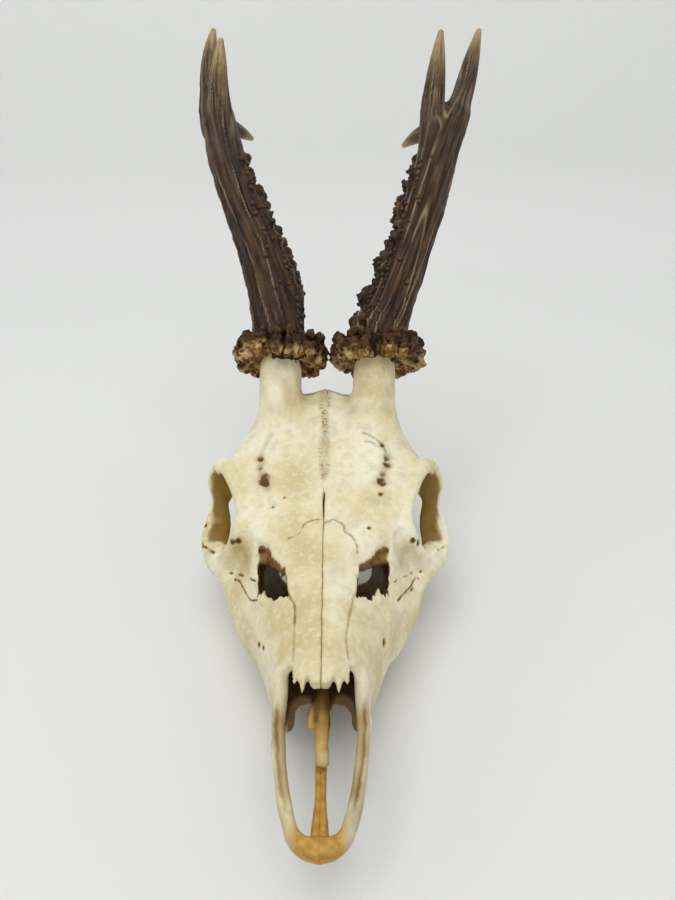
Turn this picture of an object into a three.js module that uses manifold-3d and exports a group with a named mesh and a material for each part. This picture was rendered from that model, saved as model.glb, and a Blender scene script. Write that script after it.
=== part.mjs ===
// Skull of an adult roe buck with its antlers, without the lower jaw, resting as it
// lies on a table: on its back molars and on the tips of its jugular processes.
//
// Millimetres. The shapes are drawn in the skull's own frame: x to the animal's own
// left, y backwards from the tip of the nose, z up from the plane of the tooth
// sockets. The whole is then tilted nose up and set down, so that the floor is z = 0.

import * as THREE from 'three';
import { mergeVertices } from 'three/addons/utils/BufferGeometryUtils.js';
import Module from 'manifold-3d';

const wasm = await Module();
wasm.setup();

// Driving dimensions
const restTilt = 10;           // degrees, nose up, when the skull rests
const noseAboveFloor = 28.4;   // height of the tooth-socket plane at the nose tip
const noseToCentre = 150.5;    // from the nose tip to the middle of the whole, at rest
const centreShift = 7.5;       // the antlers lean: middle of the whole from the midline
const seam = 0.3;              // gap between neighbouring pieces
const skullLength = 197;
const orbitCentre = [43, 113, 43.5];
const orbitRadii = [27, 17.5, 15];
const crownHeight = 8.4;       // tooth crowns below their sockets
const coronetRadius = 19.5;
const coronetHeight = 9.5;
const pedicleRadius = 8.6;

// Cross-sections, from front to back: height of the top line, then the widest
// points of the shoulder, side and lower edge as [half width, height], then the
// height of the bottom line.
const faceSections = [
  { y: 43.5, top: 37.0, shoulder: [8.6, 34.0], side: [13.8, 26.0], lower: [14.4, 10.0], bottom: 6.0 },
  { y: 50, top: 39.4, shoulder: [9.5, 36.0], side: [16.0, 25.0], lower: [15.2, 3.0], bottom: 5.5 },
  { y: 60, top: 42.3, shoulder: [11.0, 38.6], side: [20.5, 23.0], lower: [16.4, -0.5], bottom: 5.0 },
  { y: 70, top: 45.6, shoulder: [13.0, 41.5], side: [25.5, 21.0], lower: [18.0, -0.5], bottom: 5.5 },
  { y: 80, top: 49.0, shoulder: [17.0, 44.5], side: [30.5, 19.5], lower: [21.5, -0.5], bottom: 6.5 },
  { y: 90, top: 52.6, shoulder: [22.0, 48.0], side: [34.0, 21.0], lower: [26.5, -0.5], bottom: 7.0 },
  { y: 100, top: 57.0, shoulder: [26.0, 51.0], side: [33.0, 23.0], lower: [28.3, -0.5], bottom: 7.5 },
  { y: 110, top: 60.0, shoulder: [25.0, 54.0], side: [28.0, 22.0], lower: [28.0, 0.0], bottom: 8.0 },
  { y: 118, top: 62.0, shoulder: [22.0, 55.0], side: [24.0, 26.0], lower: [25.0, 5.0], bottom: 12.0 },
];
const nasalSections = [
  { y: 34, top: 33.6, shoulder: [4.2, 33.0], side: [8.0, 29.2], lower: [5.0, 30.2], bottom: 31.2 },
  { y: 38, top: 35.2, shoulder: [4.6, 34.6], side: [8.8, 30.6], lower: [5.0, 31.6], bottom: 32.4 },
  { y: 48, top: 38.9, shoulder: [5.0, 38.1], side: [9.4, 33.8], lower: [5.0, 35.0], bottom: 36.0 },
  { y: 60, top: 42.6, shoulder: [5.4, 41.8], side: [10.0, 37.6], lower: [5.0, 38.6], bottom: 39.6 },
];
const frontalSections = [
  { y: 82, top: 50.0, shoulder: [13.0, 46.5], side: [10.0, 38.0], lower: [5.0, 36.5], bottom: 36.0 },
  { y: 92, top: 54.0, shoulder: [23.5, 49.5], side: [19.0, 39.0], lower: [8.0, 36.5], bottom: 36.0 },
  { y: 102, top: 59.0, shoulder: [30.0, 53.5], side: [24.0, 44.0], lower: [9.0, 38.5], bottom: 38.0 },
  { y: 112, top: 64.2, shoulder: [33.8, 59.6], side: [27.0, 48.0], lower: [9.0, 40.5], bottom: 40.0 },
  { y: 122, top: 69.2, shoulder: [37.2, 62.0], side: [27.0, 50.0], lower: [10.0, 41.0], bottom: 40.0 },
  { y: 130, top: 73.0, shoulder: [37.5, 62.5], side: [24.0, 50.0], lower: [12.0, 42.0], bottom: 40.0 },
  { y: 138, top: 76.4, shoulder: [30.5, 69.0], side: [25.0, 50.0], lower: [12.0, 42.0], bottom: 40.0 },
  { y: 146, top: 79.2, shoulder: [25.0, 74.0], side: [26.0, 54.0], lower: [12.0, 42.0], bottom: 40.0 },
  { y: 153, top: 80.0, shoulder: [20.0, 76.5], side: [25.0, 57.0], lower: [12.0, 42.0], bottom: 40.0 },
];
const brainSections = [
  { y: 104, top: 55.0, shoulder: [12.0, 50.0], side: [15.0, 42.0], lower: [12.0, 32.0], bottom: 30.0 },
  { y: 115, top: 64.0, shoulder: [14.0, 60.0], side: [18.0, 45.0], lower: [14.0, 29.0], bottom: 25.0 },
  { y: 130, top: 72.0, shoulder: [20.0, 66.0], side: [25.0, 46.0], lower: [19.0, 25.0], bottom: 20.0 },
  { y: 145, top: 78.5, shoulder: [24.0, 71.0], side: [30.0, 48.0], lower: [22.0, 23.0], bottom: 18.0 },
  { y: 160, top: 77.0, shoulder: [24.0, 69.0], side: [31.5, 47.0], lower: [22.0, 23.0], bottom: 17.0 },
  { y: 175, top: 71.0, shoulder: [23.0, 63.0], side: [31.0, 44.0], lower: [22.0, 23.0], bottom: 17.5 },
  { y: 186, top: 64.0, shoulder: [20.0, 57.0], side: [27.0, 40.0], lower: [20.0, 24.0], bottom: 19.0 },
  { y: 193, top: 58.0, shoulder: [15.0, 51.0], side: [22.0, 38.0], lower: [14.0, 27.0], bottom: 22.0 },
  { y: skullLength - 1, top: 54.0, shoulder: [10.0, 48.0], side: [14.0, 38.0], lower: [9.0, 30.0], bottom: 27.0 },
];
const cavitySections = [
  { y: 28, top: 30.0, shoulder: [7.5, 26.0], side: [11.0, 20.0], lower: [11.4, 12.0], bottom: 11.0 },
  { y: 43, top: 34.0, shoulder: [7.5, 30.5], side: [12.4, 24.0], lower: [12.6, 10.0], bottom: 8.5 },
  { y: 52, top: 37.0, shoulder: [8.0, 33.0], side: [14.2, 24.0], lower: [13.0, 9.5], bottom: 8.5 },
  { y: 62, top: 40.2, shoulder: [9.0, 36.5], side: [17.6, 24.0], lower: [13.4, 9.5], bottom: 8.5 },
  { y: 72, top: 43.4, shoulder: [11.0, 39.5], side: [20.5, 25.0], lower: [14.0, 9.5], bottom: 9.0 },
  { y: 82, top: 46.4, shoulder: [14.5, 42.5], side: [22.5, 26.0], lower: [15.0, 9.5], bottom: 10.0 },
  { y: 94, top: 51.0, shoulder: [17.0, 47.0], side: [22.0, 28.0], lower: [16.0, 10.0], bottom: 11.0 },
  { y: 106, top: 50.0, shoulder: [13.0, 44.0], side: [20.0, 26.0], lower: [17.0, 12.0], bottom: 12.0 },
  { y: 124, top: 28.0, shoulder: [10.0, 26.0], side: [18.0, 18.0], lower: [16.0, 8.0], bottom: 6.0 },
];

// Ethmoidal vacuity, the opening in front of the orbit, seen from above as [x, y]
const vacuityOutline = [[23.5, 88], [23.8, 83], [21.8, 75], [12.2, 66], [12.2, 70], [13.8, 77], [17, 81]];

// Palatine fissure, the long opening in the palate behind the nose tip, from above
const fissureOutline = [[2.4, 30], [10.8, 30], [11.2, 46], [10.4, 53], [7.6, 56.5], [4.2, 55.5], [2.4, 51]];

// Cheek teeth: place along the row, distance from the midline, length, width
const teeth = [
  { y: 60, x: 12.6, length: 8.6, width: 7, lobes: 1 },
  { y: 68.6, x: 13.4, length: 8.6, width: 7.8, lobes: 1 },
  { y: 77.3, x: 15.6, length: 9, width: 9, lobes: 1 },
  { y: 88, x: 19.6, length: 12, width: 10.5, lobes: 2 },
  { y: 100.3, x: 22.2, length: 12.6, width: 11.5, lobes: 2 },
  { y: 112.6, x: 22.6, length: 12, width: 11, lobes: 2 },
];

// Antlers: points of each stretch as [x, y, z, radius]
const antlers = {
  right: {
    coronet: [-18.5, 157, 97],
    beam: [[-18.8, 158, 99, 11.4], [-19.4, 163.5, 106, 11.2], [-22, 171.6, 115.7, 10.5], [-28.2, 186, 134, 9.6],
      [-37.8, 201, 153, 8.9], [-45.5, 216, 172.5, 8.1], [-50, 228, 188, 6.1]],
    front_tine: [[-45.4, 213, 170, 6.2], [-46.2, 217.5, 184, 5.6], [-47.3, 221, 198, 4.7],
      [-46.4, 223, 208, 3.3], [-45.4, 223.6, 216, 1.5]],
    top_tine: [[-49.5, 224, 183, 6], [-52, 229.5, 190.5, 5.4], [-54.2, 241, 203, 4.6],
      [-54.6, 252, 215, 3.4], [-54.2, 261.5, 224, 1.5]],
    rear_tine: [[-48.5, 224, 182, 5.4], [-46.5, 233, 182.5, 4.4], [-42, 244, 180.5, 3.2], [-37.6, 253.5, 177.5, 1.4]],
  },
  left: {
    coronet: [21.4, 157, 97],
    beam: [[21.2, 158, 99, 11.2], [23.2, 163.5, 106, 10.9], [28.2, 172, 116, 10.1], [36.2, 186, 134, 9.5],
      [43.6, 201, 153, 9.5], [51.2, 216, 172.5, 8.5], [57.5, 226.5, 186, 6.2]],
    front_tine: [[47.5, 210, 167, 6.6], [47.4, 215.5, 178, 6.2], [47, 219.5, 188, 5.6], [47.9, 222, 199, 4.7],
      [48.7, 223.4, 209.5, 3.4], [49.4, 223.8, 219, 1.5]],
    top_tine: [[55, 222, 181, 6], [59, 228, 188, 5.4], [64, 238.5, 200, 4.7], [68, 249, 212, 3.6],
      [72.4, 261.5, 224, 1.5]],
    rear_tine: [[50, 223, 181, 5.4], [48, 233, 181, 4.4], [42.5, 244, 178, 3.2], [38, 252.5, 174.5, 1.4]],
  },
};
const antlerLean = THREE.MathUtils.degToRad(52);
const antlerAxis = new THREE.Vector3(0, Math.cos(antlerLean), Math.sin(antlerLean));

// Materials
const bone = () => new THREE.MeshStandardMaterial({ color: 0xe6dcc0, roughness: 0.62, metalness: 0 });
const agedBone = () => new THREE.MeshStandardMaterial({ color: 0xb98f4c, roughness: 0.6, metalness: 0 });
const antler = () => new THREE.MeshStandardMaterial({ color: 0x4b3625, roughness: 0.7, metalness: 0 });
const burr = () => new THREE.MeshStandardMaterial({ color: 0x5b4027, roughness: 0.75, metalness: 0 });

// ---- solids from closed meshes ----

function toSolid(geometry) {
  const bare = geometry.clone();
  bare.deleteAttribute('normal');
  bare.deleteAttribute('uv');
  const merged = mergeVertices(bare, 1e-4);
  return new wasm.Manifold(new wasm.Mesh({
    numProp: 3,
    vertProperties: new Float32Array(merged.attributes.position.array),
    triVerts: new Uint32Array(merged.index.array),
  }));
}

function toGeometry(solid) {
  const mesh = solid.getMesh();
  const geometry = new THREE.BufferGeometry();
  geometry.setAttribute('position', new THREE.BufferAttribute(new Float32Array(mesh.vertProperties), 3));
  geometry.setIndex(new THREE.BufferAttribute(new Uint32Array(mesh.triVerts), 1));
  geometry.computeVertexNormals();
  return geometry;
}

// Skin over a row of rings of equal length, with a fan on each end or joined end to end
function ringSolid(rings, closed = false) {
  const around = rings[0].length;
  const positions = rings.flat().flatMap((p) => [p.x, p.y, p.z]);
  const index = [];
  const spans = closed ? rings.length : rings.length - 1;
  for (let i = 0; i < spans; i += 1) {
    const here = i * around;
    const next = ((i + 1) % rings.length) * around;
    for (let j = 0; j < around; j += 1) {
      const k = (j + 1) % around;
      index.push(here + j, here + k, next + k, here + j, next + k, next + j);
    }
  }
  if (!closed) {
    for (const [start, flip] of [[0, true], [(rings.length - 1) * around, false]]) {
      const middle = new THREE.Vector3();
      for (let j = 0; j < around; j += 1) middle.add(rings[start / around][j]);
      middle.divideScalar(around);
      positions.push(middle.x, middle.y, middle.z);
      const hub = positions.length / 3 - 1;
      for (let j = 0; j < around; j += 1) {
        const k = (j + 1) % around;
        if (flip) index.push(hub, start + k, start + j);
        else index.push(hub, start + j, start + k);
      }
    }
  }
  const geometry = new THREE.BufferGeometry();
  geometry.setAttribute('position', new THREE.BufferAttribute(new Float32Array(positions), 3));
  geometry.setIndex(index);
  const solid = toSolid(geometry);
  return solid.volume() > 0 ? solid : ringSolid(rings.map((ring) => [...ring].reverse()), closed);
}

// Half sections, smoothed along the skull, closed into full rings
function loft(sections, around = 16, between = 1) {
  const rows = sections.map((s) => [s.top, ...s.shoulder, ...s.side, ...s.lower, s.bottom]);
  const slope = rows.map((row, i) => row.map((value, c) => {
    if (i === 0) return (rows[1][c] - value) / (sections[1].y - sections[0].y);
    const before = sections[i].y - sections[i - 1].y;
    const fall = (value - rows[i - 1][c]) / before;
    if (i === rows.length - 1) return fall;
    const after = sections[i + 1].y - sections[i].y;
    const rise = (rows[i + 1][c] - value) / after;
    return (fall * after + rise * before) / (before + after);
  }));
  const rings = [];
  const steps = (sections.length - 1) * between;
  for (let n = 0; n <= steps; n += 1) {
    const i = Math.min(Math.floor(n / between), sections.length - 2);
    const t = n / between - i;
    const span = sections[i + 1].y - sections[i].y;
    const [top, sx, sz, wx, wz, lx, lz, bottom] = rows[i].map((value, c) => (
      (2 * t ** 3 - 3 * t ** 2 + 1) * value + (t ** 3 - 2 * t ** 2 + t) * span * slope[i][c]
      + (3 * t ** 2 - 2 * t ** 3) * rows[i + 1][c] + (t ** 3 - t ** 2) * span * slope[i + 1][c]));
    const y = sections[i].y + t * span;
    const half = [[0, top], [sx, sz], [wx, wz], [lx, lz], [0, bottom]];
    const other = half.slice(1, -1).reverse().map(([x, z]) => [-x, z]);
    const loop = [...half, ...other].map(([x, z]) => new THREE.Vector3(x, y, z));
    rings.push(new THREE.CatmullRomCurve3(loop, true, 'catmullrom', 0.5).getPoints(around).slice(0, around));
  }
  return ringSolid(rings);
}

// Rounded tube through points [x, y, z], with half sizes [across, along the lift
// direction] at each point, and round ends unless it is closed into a ring
function limb(points, sizes, { around = 8, steps = 10, lift = [0, 0, 1], closed = false } = {}) {
  const curve = (list) => {
    const places = list.map((p) => new THREE.Vector3(...p));
    return new THREE.CatmullRomCurve3(places, closed, 'catmullrom', 0.5);
  };
  const path = curve(points);
  const girth = curve(sizes.map((s) => (Array.isArray(s) ? [...s, 0] : [s, s, 0])));
  const upward = new THREE.Vector3(...lift);
  const ringAt = (t, shrink, push) => {
    const centre = path.getPoint(t);
    const along = path.getTangent(t);
    const across = new THREE.Vector3().crossVectors(along, upward).normalize();
    const raised = new THREE.Vector3().crossVectors(across, along);
    const size = girth.getPoint(t);
    centre.addScaledVector(along, push * Math.min(size.x, size.y));
    return Array.from({ length: around }, (_, j) => {
      const angle = (2 * Math.PI * j) / around;
      return centre.clone()
        .addScaledVector(across, size.x * shrink * Math.cos(angle))
        .addScaledVector(raised, size.y * shrink * Math.sin(angle));
    });
  };
  const [capShrink, capPush] = [0.6, 0.8];
  const rings = Array.from({ length: closed ? steps : steps + 1 }, (_, n) => ringAt(n / steps, 1, 0));
  if (closed) return ringSolid(rings, true);
  return ringSolid([ringAt(0, capShrink, -capPush), ...rings, ringAt(1, capShrink, capPush)]);
}

function ball(centre, radii, detail = 7) {
  const geometry = new THREE.SphereGeometry(1, detail, Math.ceil(detail * 0.66));
  geometry.scale(...radii);
  geometry.translate(...centre);
  return toSolid(geometry);
}

function column(x, y, low, high, radiusX, radiusY) {
  const geometry = new THREE.CylinderGeometry(1, 0.86, high - low, 6);
  geometry.rotateX(Math.PI / 2);
  geometry.scale(radiusX, radiusY, 1);
  geometry.translate(x, y, (low + high) / 2);
  return toSolid(geometry);
}

function prism(outline, low, high) {
  const shape = new THREE.Shape(outline.map(([x, y]) => new THREE.Vector2(x, y)));
  const geometry = new THREE.ExtrudeGeometry(shape, { depth: high - low, bevelEnabled: false });
  geometry.translate(0, 0, low);
  return toSolid(geometry);
}

// Everything on one side of a plane through a point, as a big block
function sideOf(point, normal, reach = 400) {
  const geometry = new THREE.BoxGeometry(2 * reach, 2 * reach, reach);
  geometry.translate(0, 0, reach / 2);
  const outward = new THREE.Vector3(...normal).normalize();
  geometry.applyQuaternion(new THREE.Quaternion().setFromUnitVectors(new THREE.Vector3(0, 0, 1), outward));
  geometry.translate(...point);
  return toSolid(geometry);
}

const flip = (points) => points.map(([x, ...rest]) => [-x, ...rest]);
const bothSides = (make) => make(1).add(make(-1));
const onSide = (side, points) => (side > 0 ? points : flip(points));

// ---- parts of the skull ----

function orbitRim(side) {
  const points = [[32, 97, 43.5], [30.6, 100.5, 50], [31.6, 106, 55], [34.5, 113, 59], [38.2, 121, 61.5],
    [42.3, 129, 57.5], [43.2, 130.5, 49], [43.8, 130, 41], [44.3, 126.5, 34], [45, 119, 28.5],
    [42.8, 110, 27], [38, 101, 32]];
  const sizes = [[2.5, 2.5], [2.2, 2.2], [2.2, 2.2], [2.4, 2.4], [3.2, 2.6], [3.4, 2.4], [5.2, 2.3], [3.6, 2.1],
    [5.2, 2.3], [5.6, 2.4], [4.4, 2.6], [3, 2.6]];
  return limb(onSide(side, points), sizes, { around: 6, steps: 20, lift: [0, -0.8, 0.6], closed: true });
}

function cheek(side) {
  const points = [[40.5, 108, 26.5], [34, 97, 22.5], [29, 86, 17], [24, 76, 13]];
  return limb(onSide(side, points), [4.6, 4.2, 3.6, 3], { around: 6, steps: 2 });
}

function zygomaticArch(side) {
  const points = [[46.5, 122, 29.5], [46, 135, 32], [44, 148, 35.5], [38.5, 160, 38], [30.5, 171, 40]];
  const sizes = [[2.2, 4.2], [2.2, 4.2], [2.2, 4.2], [2.4, 4], [3.5, 4]];
  return limb(onSide(side, points), sizes, { around: 6, steps: 5 });
}

function pedicle(side) {
  const points = side > 0 ? [[19, 134, 62], [19.6, 141, 74], [20, 148.5, 86], [20.6, 156.5, 97]]
    : [[-18, 134, 62], [-18.2, 141, 74], [-18.4, 148.5, 86], [-18.5, 156.5, 97]];
  return limb(points, [12.5, 9.6, pedicleRadius, pedicleRadius], { around: 10, steps: 5, lift: [0, -1, 0] });
}

function premaxillaArms() {
  const upper = [[12.4, 45, 27], [12.5, 40, 23], [12.8, 32, 18], [12, 24, 13], [10.5, 17, 9.2], [9, 11.8, 6.8],
    [7.3, 8, 4.9], [4.2, 5.9, 3.6]];
  const upperSize = [[2.3, 3.2], [2.2, 3], [2, 2.8], [2, 2.5], [1.9, 2.3], [1.8, 2.2], [1.9, 2.2], [2.2, 2.2]];
  const lower = [[14, 46, 8], [13.2, 38, 7.6], [12.6, 30, 5.8], [11.4, 22, 3.6], [9.8, 15.5, 1.8], [7.8, 10, 0.6],
    [5, 7, 0], [2.6, 6, -0.4]];
  const lowerSize = [[2.2, 4.5], [1.9, 4], [1.9, 3.4], [1.9, 2.8], [1.9, 2.6], [1.9, 2.4], [2.2, 2.2], [2.6, 2]];
  // each edge runs round the nose tip from one side to the other
  const round = (points, sizes, tip, tipSize) => {
    const path = [...points, tip, ...flip(points).reverse()];
    return limb(path, [...sizes, tipSize, ...[...sizes].reverse()], { around: 5, steps: 18 });
  };
  return round(upper, upperSize, [0, 5.8, 3], [2.8, 2.4]).add(round(lower, lowerSize, [0, 5.8, -0.5], [3, 2]));
}

function premaxillaWeb(side) {
  // thin wall between the upper and the lower edge of an arm
  const points = [[13.4, 44, 17], [12.9, 36, 14], [12.4, 28, 10.5], [11.2, 21, 7.2]];
  return limb(onSide(side, points), [[1.2, 8], [1.2, 6], [1.3, 4.5], [1.4, 3]], { around: 6, steps: 3 });
}

function palatineRod(side) {
  return limb(onSide(side, [[1.2, 8, 0.8], [0.9, 18, 2.2], [0.8, 30, 4.5], [1, 46, 8]]),
    [[1.5, 1.8], [1.1, 1.5], [1, 1.5], [1.4, 2]], { around: 6, steps: 3 });
}

function occiput() {
  const crest = (side) => limb(onSide(side, [[0, 195.5, 56], [15, 191, 52.5], [24.5, 184, 44], [28, 178, 36]]),
    [[3, 2.5], [3, 2.2], [3, 2.2], [3, 2]], { around: 6, steps: 4 });
  const condyle = (side) => ball([side * 9.5, 191, 27], [6, 7.5, 8.5]);
  const jugular = (side) => limb(onSide(side, [[20, 182, 30], [20.5, 181.5, 17], [19.5, 181, 3.8]]),
    [[4, 7], [3, 5], [2.2, 2.8]], { around: 6, steps: 2, lift: [0, 1, 0] });
  const bulla = (side) => ball([side * 14, 166, 17], [6, 10, 9]);
  const earTube = (side) => limb(onSide(side, [[22, 166, 27], [30, 170, 31]]), [4.5, 3.4], { around: 6, steps: 1 });
  return [crest, condyle, jugular, bulla, earTube].map(bothSides).reduce((all, one) => all.add(one));
}

function pterygoid(side) {
  return limb(onSide(side, [[10, 118, 26], [10, 125, 14], [9, 129, 6]]), [[1.4, 6], [1.3, 4], [1.2, 2]],
    { around: 6, steps: 2, lift: [0, 1, 0] });
}

function toothRow(side) {
  const crowns = teeth.flatMap(({ x, y, length, width, lobes }) => (
    Array.from({ length: lobes }, (_, i) => {
      const lobe = length / lobes;
      const at = y + (i - (lobes - 1) / 2) * lobe;
      return column(side * x, at, -crownHeight, 5, width / 2, lobe * 0.54);
    })));
  return crowns.reduce((all, one) => all.add(one));
}

function wholeSkull() {
  const filled = [
    loft(faceSections), loft(frontalSections), loft(brainSections),
  ].reduce((all, one) => all.add(one));
  const orbit = (side) => ball([side * orbitCentre[0], orbitCentre[1], orbitCentre[2]], orbitRadii, 11);
  const vacuity = (side) => prism(onSide(side, vacuityOutline), 24, 70);
  const fissure = (side) => prism(onSide(side, fissureOutline), -4, 12);
  const foramenMagnum = ball([0, 196, 34], [8.5, 18, 8.5]);
  return filled
    .subtract(bothSides(orbit))
    .add(bothSides(orbitRim))
    .add(bothSides(cheek))
    .add(bothSides(zygomaticArch))
    .add(bothSides(pedicle))
    .add(occiput())
    .subtract(foramenMagnum)
    .subtract(loft(cavitySections, 14))
    .add(loft(nasalSections, 16))
    .subtract(bothSides(vacuity))
    .subtract(bothSides(fissure))
    .add(premaxillaArms())
    .add(bothSides(premaxillaWeb))
    .add(bothSides(palatineRod))
    .add(bothSides(pterygoid))
    .add(bothSides(toothRow));
}

// ---- parting the skull into its bones ----

function halves(solid, point, normal) {
  const n = new THREE.Vector3(...normal).normalize();
  const shifted = (d) => new THREE.Vector3(...point).addScaledVector(n, d).toArray();
  return [
    solid.intersect(sideOf(shifted(seam / 2), n.toArray())),
    solid.intersect(sideOf(shifted(-seam / 2), n.clone().negate().toArray())),
  ];
}

function largest(solid) {
  return solid.decompose().sort((a, b) => b.volume() - a.volume())[0];
}

// Plan of both nasal bones, from the notched tip back to their point between the
// frontals, made smaller or larger all round by grow
function nasalPlan(grow) {
  const half = [[9.9, 50], [10.6, 60], [12, 72], [12.6, 80], [11, 86], [6, 90]];
  const right = half.map(([x, y]) => [x + grow, y + grow * 0.5]);
  const left = [...right].reverse().map(([x, y]) => [-x, y]);
  return [[10.2 + grow, 30], ...right, [0, 93 + grow], ...left, [-10.2 - grow, 30]];
}

// The free tips end in short spikes with notches between them
function nasalTips() {
  const half = [[2.8, 37.4], [5.7, 33.8], [8.4, 40.4], [10.6, 43]];
  const left = [...half].reverse().map(([x, y]) => [-x, y]);
  return [[12, 20], [-12, 20], ...left, [0, 34.8], ...half];
}

// Block that holds the frontal bones, made smaller or larger all round by grow
function frontalBlock(grow) {
  const face = (point, normal) => {
    const inward = new THREE.Vector3(...normal).normalize();
    return sideOf(new THREE.Vector3(...point).addScaledVector(inward, -grow).toArray(), inward.toArray());
  };
  const [lower, coronal, front] = [
    face([0, 88, 46.5], [0, -0.18, 1]), face([0, 154.5, 80], [0, -1, -0.25]), face([0, 86, 0], [0, 1, 0]),
  ];
  return lower.intersect(coronal).intersect(front);
}

// Block on one side that holds the cheekbone with the front part of its arch
function zygomaticBlock(side, grow) {
  return sideOf([side * (35.8 - grow), 0, 0], [side, 0, 0]).intersect(sideOf([0, 147 + grow, 0], [0, -1, 0]));
}

function partBones(skull) {
  const gap = seam / 2;
  const nasals = skull.intersect(prism(nasalPlan(-gap), 28, 90)).subtract(prism(nasalTips(), 28, 90));
  const frontals = skull.intersect(frontalBlock(-gap)).subtract(prism(nasalPlan(gap), 28, 90));
  const lower = skull.subtract(prism(nasalPlan(gap), 28, 90)).subtract(frontalBlock(gap));
  const core = lower.subtract(zygomaticBlock(1, gap)).subtract(zygomaticBlock(-1, gap));
  const [premaxillae, upperJaw] = halves(core, [0, 44.8, 0], [0, -1, 0]);
  const [braincase, face] = halves(upperJaw, [0, 124, -10], [0, 1, 0.3]);
  const pair = (name, solid) => {
    const [left, right] = halves(solid, [0, 0, 0], [1, 0, 0]);
    return { [`${name}_left`]: largest(left), [`${name}_right`]: largest(right) };
  };
  return {
    ...pair('nasal', nasals),
    ...pair('premaxilla', premaxillae),
    ...pair('maxilla', face),
    ...pair('frontal', frontals),
    zygomatic_left: largest(lower.intersect(zygomaticBlock(1, -gap))),
    zygomatic_right: largest(lower.intersect(zygomaticBlock(-1, -gap))),
    braincase: largest(braincase),
  };
}

// Upright blade on the floor of the nose, which shows through its opening, with a
// curled flap at its front
function vomer() {
  const blade = limb([[0.6, 27.5, 9.4], [0.2, 36, 12.4], [0.2, 46, 14.4], [0, 62, 14.6], [0, 82, 18], [0, 100, 22]],
    [[1.9, 1.4], [2.2, 1.7], [2.2, 3], [1.6, 4.6], [1.3, 6], [1.2, 7]], { around: 6, steps: 8 });
  const flap = limb([[-0.6, 47, 15.5], [-2.6, 42.5, 14.8], [-3.6, 38, 12.8]], [[1.2, 1.8], [1.5, 1.5], [0.9, 1]],
    { around: 6, steps: 3 });
  return blade.add(flap);
}

// ---- antlers ----

const splitPoints = (stretch) => [stretch.map(([x, y, z]) => [x, y, z]), stretch.map((p) => p[3])];

function antlerStretch(stretch, { grow = 0, around = 8, steps = 7 } = {}) {
  const [points, radii] = splitPoints(stretch);
  return limb(points, radii.map((r) => r + grow), { around, steps, lift: [0, -1, 0] });
}

// Rough disc of the burr: a turned profile whose edge swells in knobs
function coronet(centre) {
  const profile = [[10.4, -0.5], [15.8, -0.36], [coronetRadius, -0.08], [coronetRadius * 0.97, 0.2], [15.4, 0.42],
    [12, 0.5]];
  const around = 27;
  const across = new THREE.Vector3(1, 0, 0);
  const raised = new THREE.Vector3().crossVectors(antlerAxis, across);
  const rings = profile.map(([radius, level], i) => Array.from({ length: around }, (_, j) => {
    const angle = (2 * Math.PI * j) / around;
    const edge = i > 0 && i < profile.length - 1 ? 1 : 0;
    const knob = 0.6 * edge * (Math.sin(9 * angle + i) + 0.6 * Math.sin(14 * angle + 2 * i));
    return new THREE.Vector3(...centre)
      .addScaledVector(antlerAxis, level * coronetHeight)
      .addScaledVector(across, (radius + knob) * Math.cos(angle))
      .addScaledVector(raised, (radius + knob) * Math.sin(angle));
  }));
  return ringSolid(rings);
}

const alongAxis = (centre, distance) => (
  new THREE.Vector3(...centre).addScaledVector(antlerAxis, distance).toArray());

function antlerPieces(side) {
  const one = antlers[side];
  const cut = sideOf(alongAxis(one.coronet, coronetHeight / 2 + seam), antlerAxis.toArray());
  const beam = (grow) => antlerStretch(one.beam, { grow, around: 12, steps: 11 });
  const top = (grow) => antlerStretch(one.top_tine, { grow });
  const rear = (grow) => antlerStretch(one.rear_tine, { grow, steps: 5 });
  const front = antlerStretch(one.front_tine);
  return {
    [`coronet_${side}`]: coronet(one.coronet),
    [`beam_${side}`]: beam(0).intersect(cut),
    [`top_tine_${side}`]: largest(top(0).subtract(beam(seam))),
    [`rear_tine_${side}`]: largest(rear(0).subtract(beam(seam)).subtract(top(seam))),
    [`front_tine_${side}`]: largest(front.subtract(beam(seam)).subtract(top(seam)).subtract(rear(seam))),
  };
}

// ---- the model ----

const tilt = THREE.MathUtils.degToRad(restTilt);
const up = [0, -Math.sin(tilt), Math.cos(tilt)];
const belowFloor = sideOf([0, 0, -noseAboveFloor / Math.cos(tilt)], up.map((v) => -v));
const underCoronet = (side) => (
  sideOf(alongAxis(antlers[side].coronet, -coronetHeight / 2 - seam), antlerAxis.toArray()));

const skull = wholeSkull().subtract(underCoronet('left')).subtract(underCoronet('right')).subtract(belowFloor);
const pieces = [
  [partBones(skull), bone],
  [{ vomer: vomer() }, agedBone],
  ...['left', 'right'].map((side) => [antlerPieces(side), antler]),
];

const model = new THREE.Group();
model.rotation.x = -tilt;
model.position.set(-centreShift, -noseToCentre, noseAboveFloor);
for (const [solids, material] of pieces) {
  for (const [name, solid] of Object.entries(solids)) {
    const mesh = new THREE.Mesh(toGeometry(solid), name.startsWith('coronet') ? burr() : material());
    mesh.name = name;
    model.add(mesh);
  }
}

const group = new THREE.Group();
group.add(model);

export default group;
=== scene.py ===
import math

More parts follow.
